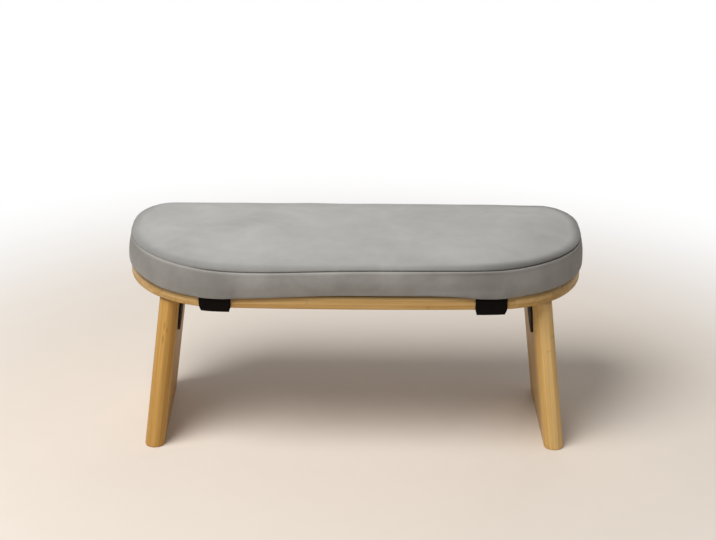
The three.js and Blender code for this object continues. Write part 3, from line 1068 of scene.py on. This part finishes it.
def velvet_material():
    """The tone is a weighted sum of long strokes, mottles and the pile itself, with the
    first two bent by a slow noise. It mixes a deep and a pale colour, which are a mix of the
    side panel's and the top's painted-paler ones. Painted shade is mixed in last. Tufts and pile
    make the height."""
    material, tree, shader = new_material(
        "grey_velvet",
        Sheen_Weight=0.28,
        Sheen_Roughness=0.5,
        Sheen_Tint=(0.93, 0.94, 0.92, 1),
        Specular_IOR_Level=0.12,
    )
    vector = object_space(tree)
    warp = noise(tree, vector, warp_waves, output="Color")
    bent = vector_calc(tree, "MULTIPLY_ADD", warp, [warp_size] * 3, vector)
    stroke = noise(tree, bent, stroke_waves, stroke_detail, stroke_roughness)
    mottle = noise(tree, bent, mottle_waves, mottle_detail)
    pile = noise(tree, vector, pile_waves)
    tuft = noise(tree, vector, tuft_waves, tuft_detail)
    tone = calc(tree, "MULTIPLY_ADD", stroke, stroke_share, -stroke_offset)
    for pattern, share in ((mottle, mottle_share), (pile, pile_share)):
        uneven = calc(tree, "SUBTRACT", pattern, 0.5)
        tone = calc(tree, "MULTIPLY_ADD", uneven, share, tone)
    # Which nap shows, with painted light: the top and the seam's lip are painted paler.
    on_top = stored(tree, "panel_and_painted_light")
    deep = mixed(tree, on_top, velvet_deep, top_deep)
    pale = mixed(tree, on_top, velvet_pale, top_pale)
    combed = mixed(tree, tone, deep, pale)
    # Painted shade from a stored number: in the seam's crease, on the top's roll and where less
    # light falls.
    colour = mixed(tree, stored(tree, "painted_pile_shade"), combed, painted_shade_velvet)
    rough = calc(tree, "MULTIPLY_ADD", stroke, stroke_rough, velvet_rough)
    plug(tree, shader, Base_Color=colour, Roughness=rough)
    height = calc(tree, "MULTIPLY_ADD", tuft, tuft_relief, pile)
    plug_bump(tree, shader, height, strength=0.35, distance=0.15 * MM)
    return material


grey_velvet = velvet_material()
print("finish", grey_velvet.name)

# %% [markdown]
# ## The cushion
# A boxed cushion: a crowned top panel sewn to an upright side panel, whose lower hem is pulled
# a few millimetres down over the board's edge by the elastic. It is drawn as one closed skin
# of rings. First the plain body goes through a short cloth simulation, where air pressure
# blows its panels up between the seam and the hem. The fine skin then takes over that
# swelling, so the narrow seam and the rolled hem, which a simulation would lose, stay crisp.

# %% Tell front, back and ends apart
outline_x = outline[:, 0]
to_front = -outward[:, 1]
in_front = np.clip(to_front, 0, 1)
in_back = np.clip(-to_front, 0, 1)
end_share = outward[:, 0] ** 2
front_share = 1 - end_share


def by_side(left, right):
    """One value on the left half of the outline and another on the right half."""
    return np.where(outline_x < 0, left, right)


def bells(*rows):
    """A sum of bells along x. Each row gives a bell's height, its place and its reach."""
    return sum(height * bell(outline_x - place, reach) for height, place, reach in rows)


print(np.count_nonzero(outline_x < 0), "points of the outline lie on the left")

# %% The line of the seam
seam_height = 26.4 * MM
seam_dip, seam_dip_x, seam_dip_reach = 3.2 * MM, -105 * MM, 70 * MM
seam_rise_left, seam_rise_right = 1.3 * MM, 2.1 * MM
seam_rise_start, seam_rise_end = 110 * MM, 190 * MM
seam_out_in_front = 1.3 * MM
seam_in_left, seam_in_right = 0.9 * MM, 0.5 * MM
corner_in_left, corner_in_right = 1.8 * MM, 3.4 * MM


def seam_rise():
    """A hand-sewn seam is never quite level: in front it rises towards both ends and sags in
    a bell where the filling is softer."""
    ends = smooth_step(np.abs(outline_x), seam_rise_start, seam_rise_end)
    ends = ends * by_side(seam_rise_left, seam_rise_right)
    return (ends - bells((seam_dip, seam_dip_x, seam_dip_reach))) * in_front


seam_level = seat_top + seam_height
seam_z = seam_level + seam_rise()
front_corner = 4 * end_share * front_share * (to_front > 0)
seam_offset = seam_out_in_front * front_share - by_side(seam_in_left, seam_in_right) * end_share
seam_offset = seam_offset - by_side(corner_in_left, corner_in_right) * front_corner
print("seam from", round(seam_z.min() / MM, 1), "to", round(seam_z.max() / MM, 1), "mm up")

# %% The line of the hem
hem_gap, hem_lift = 0.35 * MM, 0.5 * MM
hem_drop_left, hem_drop_right = 2.9 * MM, 1.2 * MM
hem_drop_start_left, hem_drop_start_right = 10 * MM, 60 * MM
hem_drop_end_left, hem_drop_end_right = 100 * MM, 130 * MM
hem_back_left, hem_back_right = 0.7, 0.3
hem_back_start, hem_back_end = 190 * MM, 222 * MM
hem_pull_left, hem_pull_right = 2.1 * MM, 1.9 * MM
pull_reach_left, pull_reach_right = 45 * MM, 30 * MM
hem_out = 0.55 * MM
hem_tuck_at_ends = 0.2 * MM
band_room, over_band_reach = 1.6 * MM, 20 * MM
over_band_start, over_band_full = 0.02, 0.35


def hem_drop():
    """How far the hem hangs below the board's top: nothing in the middle, growing towards
    both ends, coming back a little at the very ends, and more where a band pulls it down."""
    way = np.abs(outline_x)
    start = by_side(hem_drop_start_left, hem_drop_start_right)
    end = by_side(hem_drop_end_left, hem_drop_end_right)
    drop = by_side(hem_drop_left, hem_drop_right) * smooth_step(way, start, end)
    back = by_side(hem_back_left, hem_back_right) * smooth_step(way, hem_back_start, hem_back_end)
    pull = bells(
        (hem_pull_left, left_band_x, pull_reach_left),
        (hem_pull_right, right_band_x, pull_reach_right),
    )
    return drop * (1 - back) + pull


hem_z = seat_top + hem_gap + hem_lift - hem_drop()
over_band = sum(bell(outline_x - x, over_band_reach) ** 2 for x in (left_band_x, right_band_x))
over_band = smooth_step(over_band, over_band_start, over_band_full)
inner_offset = hem_out + band_room * over_band - hem_tuck_at_ends * end_share
print("hem from", round(hem_z.min() / MM, 1), "to", round(hem_z.max() / MM, 1), "mm up")

# %% [markdown]
# Shade is painted on the board just under the hem, where the cushion overhangs it, and a
# fainter painted shade towards the round ends. The hem's line is known now, so each point of the
# board gets its number from how far it lies under the hem and how far out along the board.

# %% Paint shade on the wood under the hem and at the ends
# Painted shade: how strong it is just under the hem and where it fades out, and the fainter one at
# the ends.
hem_shade, hem_shade_start, hem_shade_end = 0.45, 2.8 * MM, 6.5 * MM
end_shade, end_shade_start, end_shade_end = 0.14, 140 * MM, 205 * MM

board_points = np.array(board_rings())
under_hem = hem_z - board_points[..., 2]
near_hem = hem_shade * (1 - smooth_step(under_hem, hem_shade_start, hem_shade_end))
near_end = end_shade * smooth_step(np.abs(board_points[..., 0]), end_shade_start, end_shade_end)
store(board, "painted_shade", near_hem + near_end)
# Prints the most painted shade on the board.
print("wood is dulled by up to", round((near_hem + near_end).max(), 2))

# %% [markdown]
# ## The cushion's skin, ring by ring
# The skin is drawn in the order in which a finger would trace it: from the middle of the base
# over the board's edge, round the rolled hem, up the side panel, over the seam's lip into its
# crease, out over the bead of the top panel, and in to the middle of the crown.

# %% Base, hem and side panel
base_shares = [0.15, 0.4, 0.65, 0.85, 0.95]
base_in = 3.2 * MM
edge_in, edge_drop, edge_clear = 0.6 * MM, 0.5 * MM, 0.7 * MM
inside_out, inside_band_share, inside_drop, inside_clear = 0.45 * MM, 0.4, 2.2 * MM, 1.1 * MM
hem_roll = 0.95 * MM
hem_fold = 1.5 * hem_roll
hem_roll_steps = 7
side_rows = 13
side_swell_at_ends, side_swell_in_front = 1.3 * MM, 1.6 * MM
side_swell = side_swell_in_front * front_share + side_swell_at_ends * end_share


def hem_rows():
    """Offset and height of the rings that go from the base over the board's rounded edge,
    down inside the hem, and round its roll, a half circle, out on to the side panel."""
    inside = inside_out + inside_band_share * band_room * over_band
    rows = [
        (-base_in, seat_top + hem_gap),
        (-edge_in, np.maximum(seat_top - edge_drop, hem_z + edge_clear)),
        (inside, np.maximum(seat_top - inside_drop, hem_z + inside_clear)),
        (inner_offset, hem_z + hem_fold),
    ]
    for turn in np.linspace(math.pi, 2 * math.pi, hem_roll_steps):
        out = inner_offset + hem_roll * (1 + math.cos(turn))
        rows.append((out, hem_z + hem_roll * (1 + math.sin(turn))))
    return rows


def side_offset(t):
    """From the hem to the seam in a straight line, plus a swelling of 4 t (1 - t)."""
    hem = inner_offset + 2 * hem_roll
    return hem + (seam_offset - hem) * t + 4 * side_swell * t * (1 - t)


print(len(hem_rows()), "rings round the hem")

# %% Lip and crease of the seam
lip_height, lip_out = 0.6 * MM, 0.5 * MM
seam_depth_left, seam_depth_right = 0.7 * MM, 2.4 * MM
seam_depth_start, seam_depth_end = -0.71 * half_length, -0.61 * half_length
pucker_height = 0.22 * MM
pucker_length, pucker_drift, pucker_swing = 13 * MM, 61 * MM, 1.4
pucker_everywhere, pucker_at_corners = 0.35, 2.6

deepening = smooth_step(outline_x, seam_depth_start, seam_depth_end)
seam_depth = seam_depth_left + (seam_depth_right - seam_depth_left) * deepening
walked = np.cumsum(np.linalg.norm(outline - np.roll(outline, 1, axis=0), axis=1))
walked = walked * 2 * math.pi
pucker = np.sin(walked / pucker_length + pucker_swing * np.sin(walked / pucker_drift))
pucker = pucker * pucker_height * (pucker_everywhere + pucker_at_corners * end_share * front_share)

# How far each ring stands out in lips, is drawn in by the puckers, goes in with the crease,
# and lies under the seam in lip heights.
lip_rows = [(0.9, 0, 0, 2.6), (1, 0.6, 0, 1.2), (0.3, 0, 0, 0.4), (0, 0, 0.6, 0.2), (0, 0, 1, 0)]
lip_foot = lip_rows[0][-1] * lip_height


def seam_rows():
    """The side panel's turned edge stands out as a lip, and the skin dips in behind it."""
    return [
        (
            seam_offset + out * lip_out - tuck * pucker - deep * seam_depth,
            seam_z - under * lip_height,
        )
        for out, tuck, deep, under in lip_rows
    ]


print("the seam is up to", round(seam_depth.max() / MM, 1), "mm deep")

# %% Bead, roll and crown of the top panel
top_height = 31.9 * MM
top_fall_left, top_fall_right = 1.7 * MM, 2.5 * MM
front_lift_left, front_lift_right = 1.8 * MM, 3.4 * MM
front_lift_start, front_lift_end = 40 * MM, 170 * MM
roll_in_front, roll_at_left, roll_at_right = 13 * MM, 20 * MM, 13 * MM
roll_softness = 0.35
bead_height = 1.5 * MM
bead_in_left, bead_in_right = 0.8 * MM, 0.1 * MM
bead_rows, roll_rows = 5, 12
crown_height = 0.8 * MM
crown_shares = [0.985, 0.96, 0.92, 0.87, 0.81, 0.74, 0.66, 0.57, 0.47, 0.36, 0.24, 0.12]

top_fall = by_side(top_fall_left, top_fall_right) * (outline_x / half_length) ** 2
front_lift = smooth_step(np.abs(outline_x), front_lift_start, front_lift_end)
front_lift = front_lift * by_side(front_lift_left, front_lift_right) * in_front
top_level = seat_top + top_height - top_fall + front_lift
roll_at_ends = by_side(roll_at_left, roll_at_right)
roll_width = roll_in_front + (roll_at_ends - roll_in_front) * np.sqrt(end_share)


def top_rows():
    """The top panel puffs out over the seam as a bead and then rolls in to the flat. The
    bead is a quarter ellipse from the bottom of the crease out to its widest place. The
    roll is another one, going in by one minus cosine times its width and up by sine times
    the height that is left to the top, or sine squared for the soft share at the ends."""
    bead_in = bead_in_left + (bead_in_right - bead_in_left) * smooth_step(outline_x, 0, half_length)
    widest = seam_offset - bead_in + pucker
    soft = roll_softness * np.sqrt(end_share)
    middle = seam_z + bead_height
    inside = seam_depth - bead_in
    rows = []
    for turn in np.linspace(-math.pi / 2, 0, bead_rows + 1)[1:-1]:
        up = middle + bead_height * math.sin(turn)
        rows.append((widest - inside * (1 - math.cos(turn)), up))
    for turn in np.linspace(0, math.pi / 2, roll_rows + 1):
        share = (1 - soft) * math.sin(turn) + soft * math.sin(turn) ** 2
        inwards = roll_width * (1 - math.cos(turn)) + pucker * math.sin(turn)
        rows.append((widest - inwards, middle + (top_level - middle) * share))
    return rows


def crown_rings(edge_offset, edge_z):
    """The crown rises by its height times one minus the square of the share, and what the
    edge falls or lifts fades out with that square."""
    middle_z = seat_top + top_height
    heights = [
        middle_z + (edge_z - middle_z) * share**2 + crown_height * (1 - share**2)
        for share in crown_shares
    ]
    return [seat_ring(edge_offset, z, share) for z, share in zip(heights, crown_shares)]


# %% Join the rings
side_low, side_high = hem_z + hem_roll, seam_z - lip_foot
side_steps = np.arange(1, side_rows) / side_rows
rows = hem_rows()
rows += [(side_offset(t), side_low + (side_high - side_low) * t) for t in side_steps]
rows += seam_rows() + top_rows()
rings = [seat_ring(-base_in, seat_top + hem_gap, share) for share in base_shares]
rings += [seat_ring(offset, height) for offset, height in rows]
rings = np.array(rings + crown_rings(*rows[-1]))
print("cushion skin of", rings.shape[0], "rings with", rings.shape[1], "points each")

# %% [markdown]
# ## Blowing the cushion up
# Filling presses on a cover from inside, and the seam and the hem hold it back. A coarse body
# without those two is remeshed into small even squares, held along the seam's level and near
# the board, and blown up by Blender's cloth for a few frames. The fine skin takes over the
# movement of the points near it, capped, and not at the seam, the hem and the base.

# %% Blow the plain body up with cloth
voxel = 5 * MM
shell_in = 1.2 * MM
body_roll = 8 * MM
body_rise = 0.6
body_side_rows = 7
held_near_board, held_at_seam = 3.5 * MM, 1.75 * MM
puff_frames = 20
cloth_values = {
    "quality": 6,
    "mass": 0.25,
    "tension_stiffness": 12,
    "compression_stiffness": 12,
    "bending_stiffness": 0.4,
    "use_pressure": True,
    "uniform_pressure_force": 4.0,
    "vertex_group_mass": "sewn",
}


def plain_body_rings():
    """The cushion without its seam and hem: a flat base, an upright side and a low crown,
    drawn in a little so that it can swell."""
    base = seat_top + hem_gap
    top = seam_level + body_rise * (top_height - seam_height)
    edge_in = shell_in + body_roll
    rings = [seat_ring(-shell_in, base, share) for share in base_shares]
    rings += [seat_ring(-shell_in, z) for z in np.linspace(base, seam_level, body_side_rows)]
    return rings + [seat_ring(-edge_in, top, share) for share in [1.0] + crown_shares]


def points_of(data):
    """A mesh's points as rows of x, y and z."""
    flat = np.empty(len(data.vertices) * 3)
    data.vertices.foreach_get("co", flat)
    return flat.reshape(-1, 3)


def simulated_swelling():
    """Rest points and movement of the body after the simulation, as two arrays."""
    body = helper(*skin(plain_body_rings()))
    remesh = body.modifiers.new("voxels", "REMESH")
    remesh.mode = "VOXEL"
    remesh.voxel_size = voxel
    cloth_body = in_scene("helper", after_modifiers(body))
    bpy.data.objects.remove(body)
    rest = points_of(cloth_body.data)
    from_seam = np.abs(rest[:, 2] - seam_level)
    held = (rest[:, 2] < seat_top + held_near_board) | (from_seam < held_at_seam)
    group = cloth_body.vertex_groups.new(name=cloth_values["vertex_group_mass"])
    group.add(np.flatnonzero(held).tolist(), 1.0, "REPLACE")
    cloth = cloth_body.modifiers.new("cloth", "CLOTH").settings
    for title, value in cloth_values.items():
        setattr(cloth, title, value)
    cloth.effector_weights.gravity = 0
    for number in range(1, puff_frames + 1):
        bpy.context.scene.frame_set(number)
    after = points_of(after_modifiers(cloth_body))
    bpy.data.objects.remove(cloth_body)
    bpy.context.scene.frame_set(1)
    return rest, after - rest


# %% Carry the swelling over to the skin
neighbours, block_size = 10, 800
puff_cap = 2.5 * MM
puff_start, puff_full = 2 * MM, 10 * MM
seam_still, seam_free = 0.5 * MM, 3 * MM


def carried_over(points, rest, movement):
    """Each point takes the mean movement of its nearest neighbours in the simulated body,
    weighted by one over their squared distance. Done in blocks, to keep arrays small."""
    carried = np.empty_like(points)
    for begin in range(0, len(points), block_size):
        block = points[begin : begin + block_size]
        square = ((block[:, None, :] - rest[None, :, :]) ** 2).sum(axis=-1)
        near = np.argpartition(square, neighbours, axis=1)[:, :neighbours]
        weight = 1 / (np.take_along_axis(square, near, axis=1) + (voxel / 2) ** 2)
        weight /= weight.sum(axis=1, keepdims=True)
        carried[begin : begin + block_size] = (movement[near] * weight[..., None]).sum(axis=1)
    return carried


def swell(rings):
    """Adds the simulated movement above the hem. It is capped, and it fades out at the seam."""
    rest, movement = simulated_swelling()
    size = np.linalg.norm(movement, axis=1, keepdims=True)
    movement = movement * (puff_cap / np.maximum(size, puff_cap))
    flat = rings.reshape(-1, 3)
    above_hem = smooth_step(flat[:, 2], seat_top + puff_start, seat_top + puff_full)
    from_seam = np.abs(flat[:, 2] - np.tile(seam_z, len(rings)))
    share = above_hem * smooth_step(from_seam, seam_still, seam_free)
    change = carried_over(flat, rest, movement) * share[:, None]
    most, kept = round(size.max() / MM, 2), round(np.abs(change).max() / MM, 2)
    print("cloth moved up to", most, "mm, kept up to", kept)
    return (flat + change).reshape(rings.shape)


rings = swell(rings)

# %% [markdown]
# No stuffed cover is quite even. A few long waves with given directions move the top up
# and down and the side panel in and out, by a fraction of a millimetre.

# %% Soft unevenness of a stuffed cover
wave_directions = [[31, 17, 9], [-22, 43, 15], [67, -29, 21], [11, 71, -33], [95, 38, 47]]
wave_heights = np.array([0.16, 0.16, 0.14, 0.12, 0.10]) * MM
wave_phases = [0.4, 1.9, 3.1, 4.4, 5.2]
top_start, top_full = 0.5 * MM, 4 * MM
side_start, side_full = 1 * MM, 8 * MM
under_seam_start, under_seam_full = 0.2 * MM, 5 * MM
side_waves = 2.2


def lumped(rings):
    """Each wave is its height times the sine of its phase plus the dot product of its
    direction with the place. Their sum moves the top, and the side along its normal."""
    waves = np.sin(rings @ np.transpose(wave_directions) + wave_phases)
    lumps = (waves * wave_heights).sum(axis=-1)
    height = rings[..., 2]
    on_top = smooth_step(height, seam_z + top_start, seam_z + top_full)
    on_side = smooth_step(height, seat_top + side_start, seat_top + side_full) * (1 - on_top)
    on_side = on_side * smooth_step(seam_z - height, under_seam_start, under_seam_full)
    out = rings.copy()
    out[..., 2] += on_top * lumps
    out[..., :2] += (on_side * lumps * side_waves)[..., None] * outward[None, :, :]
    return out


print("waves of up to", round(wave_heights.sum() / MM, 2), "mm in all")

# %% [markdown]
# ## Painted shade and light on the pile
# Shade is painted on the top panel beside the seam, where its roll turns from the light: broadly at
# the left end, narrowly in front, and darkest at the right end. More painted shade lies
# over both bands, at the left end of the side
# panel, along the front and back of the top and at its right end. Low on the side panel two
# patches are paler. Noise alone can't know where the seam
# or the bands are, so all of this is worked out ring by ring and stored on the mesh.

# %% Where shade and paler patches are painted on the pile
# Painted shade over the bands and at the left end of the side panel, and on the top's edges and
# right end.
over_left_band, over_left_reach = 0.16, 24 * MM
over_right_band, over_right_reach = 0.30, 34 * MM
left_end, left_end_reach = 0.55, 14 * MM
side_shade_from, side_shade_to = -0.7, 0.2
# Two patches low on the side panel that are paler.
pale_patches = ((0.40, 78 * MM, 34 * MM), (0.20, -95 * MM, 30 * MM))
patch_fall, patch_full = 0.8, 0.5
top_front, top_front_reach = 0.11, 45 * MM
top_back, top_back_reach = 0.09, 40 * MM
top_back_start, top_back_end = 130 * MM, 190 * MM
top_right, top_right_start, top_right_end = 0.09, 150 * MM, 205 * MM


def side_painted_shade():
    """The painted shade on the side panel, as three bells along its front."""
    along_front = bells(
        (over_left_band, left_band_x, over_left_reach),
        (over_right_band, right_band_x, over_right_reach),
        (left_end, -half_length, left_end_reach),
    )
    return along_front * smooth_step(to_front, side_shade_from, side_shade_to)


def pale_side(height):
    """How much paler the side panel is, from two bells. The height goes
    from 0 at the hem to 1 at the seam, and the patches fade with it."""
    fading = (1 - patch_fall * height) * smooth_step(to_front, 0, patch_full)
    return bells(*pale_patches) * fading


def top_painted_shade(share, inwards):
    """The painted shade on a ring of the top, from its size and its way in: most along
    the front edge and the middle of the back edge, and towards the right end."""
    front = top_front * in_front * (1 - smooth_step(inwards, 0, top_front_reach))
    back = top_back * in_back * (1 - smooth_step(inwards, 0, top_back_reach))
    back = back * (1 - smooth_step(np.abs(outline_x), top_back_start, top_back_end))
    return front + back + top_right * smooth_step(outline_x * share, top_right_start, top_right_end)


# Prints the most painted shade on the side panel.
print("side panel rubbed by up to", round(side_painted_shade().max(), 2))

# %% Where shade is painted beside the seam
# Painted shade beside the seam: its strength and reach at the left, in the middle and at the right.
seam_shade_left, seam_shade_middle, seam_shade_right = 0.34, 0.26, 0.66
seam_shade_reach_left, seam_shade_reach_middle, seam_shade_reach_right = 13 * MM, 8 * MM, 12 * MM
leftwards_start, leftwards_end = 0.48 * half_length, 0.76 * half_length
rightwards_start, rightwards_end = 0.22 * half_length, 0.72 * half_length
# The painted highlight on the seam's lip, ring by ring.
lip_highlight = [0.5, 1.0, 0.5, 0.0, 0.0]
crease_rows = 2


def by_place(left, middle, right):
    """A value that goes from its middle to its left and right figure towards the ends."""
    leftwards = (left - middle) * smooth_step(-outline_x, leftwards_start, leftwards_end)
    rightwards = (right - middle) * smooth_step(outline_x, rightwards_start, rightwards_end)
    return middle + leftwards + rightwards


def painted_shade_rows(rings_below_lip):
    """How much painted shade lies on the pile, ring by ring: the side's painted shade below the
    seam, all of the seam's shade in the crease, and above it less with the way in, down to nothing
    at the reach."""
    strength = by_place(seam_shade_left, seam_shade_middle, seam_shade_right)
    reach = by_place(seam_shade_reach_left, seam_shade_reach_middle, seam_shade_reach_right)
    rows = [side_painted_shade()] * (rings_below_lip + len(lip_rows) - crease_rows)
    rows += [strength] * crease_rows
    for offset, _ in top_rows():
        inwards = seam_offset - offset
        rows.append(strength * (1 - smooth_step(inwards, 0, reach)) + top_painted_shade(1, inwards))
    for share in crown_shares:
        rows.append(top_painted_shade(share, roll_width + (1 - share) * seat_depth / 2))
    return np.clip(rows, 0, 1)


def panel_and_light_rows(rings_below_lip):
    """Which nap shows, ring by ring, with painted light: 0 for the side panel's and 1 for the
    top's painted-paler one. The lip is painted as pale as the top where it stands out most, as a
    highlight, and the crease as dark as the side."""
    tone = np.ones((len(rings), len(outline)))
    tone[:rings_below_lip] = 0
    for step in range(1, side_rows):
        tone[rings_below_lip - side_rows + step] = pale_side(step / side_rows)
    tone[rings_below_lip : rings_below_lip + len(lip_highlight)] = np.reshape(lip_highlight, (-1, 1))
    return tone


# %% Make the cushion
rings_below_lip = len(base_shares) + len(hem_rows()) + side_rows - 1
cushion = mesh_piece("cushion", *skin(lumped(rings)), "seat", grey_velvet)
# The top's painted-paler nap, the lip's painted highlight and the painted shade, stored for the
# velvet.
store(cushion, "panel_and_painted_light", panel_and_light_rows(rings_below_lip))
store(cushion, "painted_pile_shade", painted_shade_rows(rings_below_lip))
smoother = cushion.modifiers.new("smoother", "SUBSURF")
smoother.levels = 1
smoother.render_levels = 1
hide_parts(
    "cushion_top_panel", "cushion_side_band", "cushion_base_panel", "cushion_foam"
)
print("cushion with", len(cushion.data.polygons), "faces before smoothing")

# %% [markdown]
# ## Floor and light
# The floor is pale and plain. Near the bench it is a real surface that takes the shadow, and
# further out it fades to pure white for the camera and for reflections, so no horizon shows.
# The light is soft: a wide lamp high on the left in front, weaker ones on the right and
# behind, and an even sky. Together they are bright enough that a colour renders about as it
# is written.

# %% Lay the floor
white = (1, 1, 1, 1)
floor_half = 6.0
fade_start, fade_end = 0.36, 0.85
floor_pale, floor_deep = (0.77, 0.70, 0.63, 1), (0.75, 0.68, 0.61, 1)
grit_waves, grit_detail = 35, 4.0


def background_rays(tree):
    """One for a ray that comes from the camera, from a mirror or through glass."""
    rays = node(tree, "ShaderNodeLightPath").outputs
    seen = calc(tree, "MAXIMUM", rays["Is Camera Ray"], rays["Is Glossy Ray"])
    return calc(tree, "MAXIMUM", seen, rays["Is Transmission Ray"])


def floor_material():
    """A pale surface that a white glow takes over with the distance from the middle."""
    material, tree, shader = new_material("pale_floor", Specular_IOR_Level=0.2, Roughness=0.8)
    place = node(tree, "ShaderNodeTexCoord").outputs["Object"]
    grit = noise(tree, place, grit_waves, grit_detail)
    plug(tree, shader, Base_Color=mixed(tree, grit, floor_deep, floor_pale))
    way = vector_calc(tree, "LENGTH", place, output="Value")
    fade = ramp(tree, way, fade_start, fade_end, 0.0, 1.0)
    share = calc(tree, "MULTIPLY", fade, background_rays(tree))
    glow = node(tree, "ShaderNodeEmission", {"Color": white, "Strength": 1.0}).outputs[0]
    both = node(tree, "ShaderNodeMixShader", {0: share, 1: shader.outputs["BSDF"], 2: glow})
    output = next(made for made in tree.nodes if made.type == "OUTPUT_MATERIAL")
    plug(tree, output, Surface=both.outputs[0])
    return material


floor_corners = np.array([[-1, -1, 0], [1, -1, 0], [1, 1, 0], [-1, 1, 0]]) * floor_half
floor = mesh_piece("floor", floor_corners, [[0, 1, 2, 3]], None, floor_material(), smooth=False)
print("floor of", 2 * floor_half, "metres, white from", fade_end, "metres out")

# %% Hang the lamps
sky_strength, sky_colour = 0.19, (1.0, 0.965, 0.925, 1)
seat_centre = (0, 0, seat_top)
lamps = (
    ("key", (-0.82, -0.92, 1.92), 1.4, 51, (1.0, 0.99, 0.97)),
    ("fill", (2.0, 0.7, 1.2), 1.6, 2, (1.0, 0.99, 0.98)),
    ("back", (0.3, 2.0, 1.2), 1.8, 10, (1.0, 1.0, 1.0)),
)


def area_lamp(name, place, size, watts, colour):
    """A round lamp that looks at the seat: its -Z axis is turned to point there."""
    lamp = bpy.data.lights.new(name, "AREA")
    lamp.shape = "DISK"
    lamp.size = size
    lamp.energy = watts
    lamp.color = colour
    holder = in_scene(name, lamp)
    holder.location = place
    way = Vector(seat_centre) - Vector(place)
    holder.rotation_euler = way.to_track_quat("-Z", "Y").to_euler()


def sky():
    """A dim warm sky that lights the bench, and white for the rays that see it."""
    world = bpy.data.worlds.new("sky")
    world.use_nodes = True
    tree = world.node_tree
    tree.nodes.clear()
    soft = node(tree, "ShaderNodeBackground", {"Color": sky_colour, "Strength": sky_strength})
    plain = node(tree, "ShaderNodeBackground", {"Color": white, "Strength": 1.0})
    seen = background_rays(tree)
    both = node(
        tree, "ShaderNodeMixShader", {0: seen, 1: soft.outputs[0], 2: plain.outputs[0]}
    )
    node(tree, "ShaderNodeOutputWorld", {"Surface": both.outputs[0]})
    bpy.context.scene.world = world


for lamp_values in lamps:
    area_lamp(*lamp_values)
sky()
print(len(lamps), "lamps and a sky")

# %% [markdown]
# ## Camera
# The camera was matched to the photograph by its focal length, height, tilt and a slight roll.
# Its axes are worked out from those angles, so nothing has to be aimed by eye.

# %% Set the camera
image_width = 716
focal_pixels = 1732
camera_place = Vector((-16.1, -1676.7, 837.0)) * MM
camera_yaw = math.radians(0.626)
camera_pitch = math.radians(21.61)
camera_roll = math.radians(-0.696)
sensor_width = 36
nearest, farthest = 0.05, 50


def camera_axes():
    """Forward from yaw and pitch, right at a right angle to it and level, down as their
    cross product, and then right and down turned by the roll."""
    forward = Vector((
        math.sin(camera_yaw) * math.cos(camera_pitch),
        math.cos(camera_yaw) * math.cos(camera_pitch),
        -math.sin(camera_pitch),
    ))
    level = Vector((math.cos(camera_yaw), -math.sin(camera_yaw), 0))
    down = forward.cross(level)
    cosine, sine = math.cos(camera_roll), math.sin(camera_roll)
    right = cosine * level + sine * down
    below = -sine * level + cosine * down
    return right, -below, -forward


camera_data = bpy.data.cameras.new("camera")
camera_data.sensor_width = sensor_width
camera_data.lens = sensor_width * focal_pixels / image_width
camera_data.clip_start, camera_data.clip_end = nearest, farthest
camera = in_scene("camera", camera_data)
turn = Matrix(camera_axes()).transposed().to_4x4()
camera.matrix_world = Matrix.Translation(camera_place) @ turn
bpy.context.scene.camera = camera
bpy.context.scene.view_settings.view_transform = "Standard"
print("lens", round(camera_data.lens, 1), "mm at", [round(c, 3) for c in camera.location])
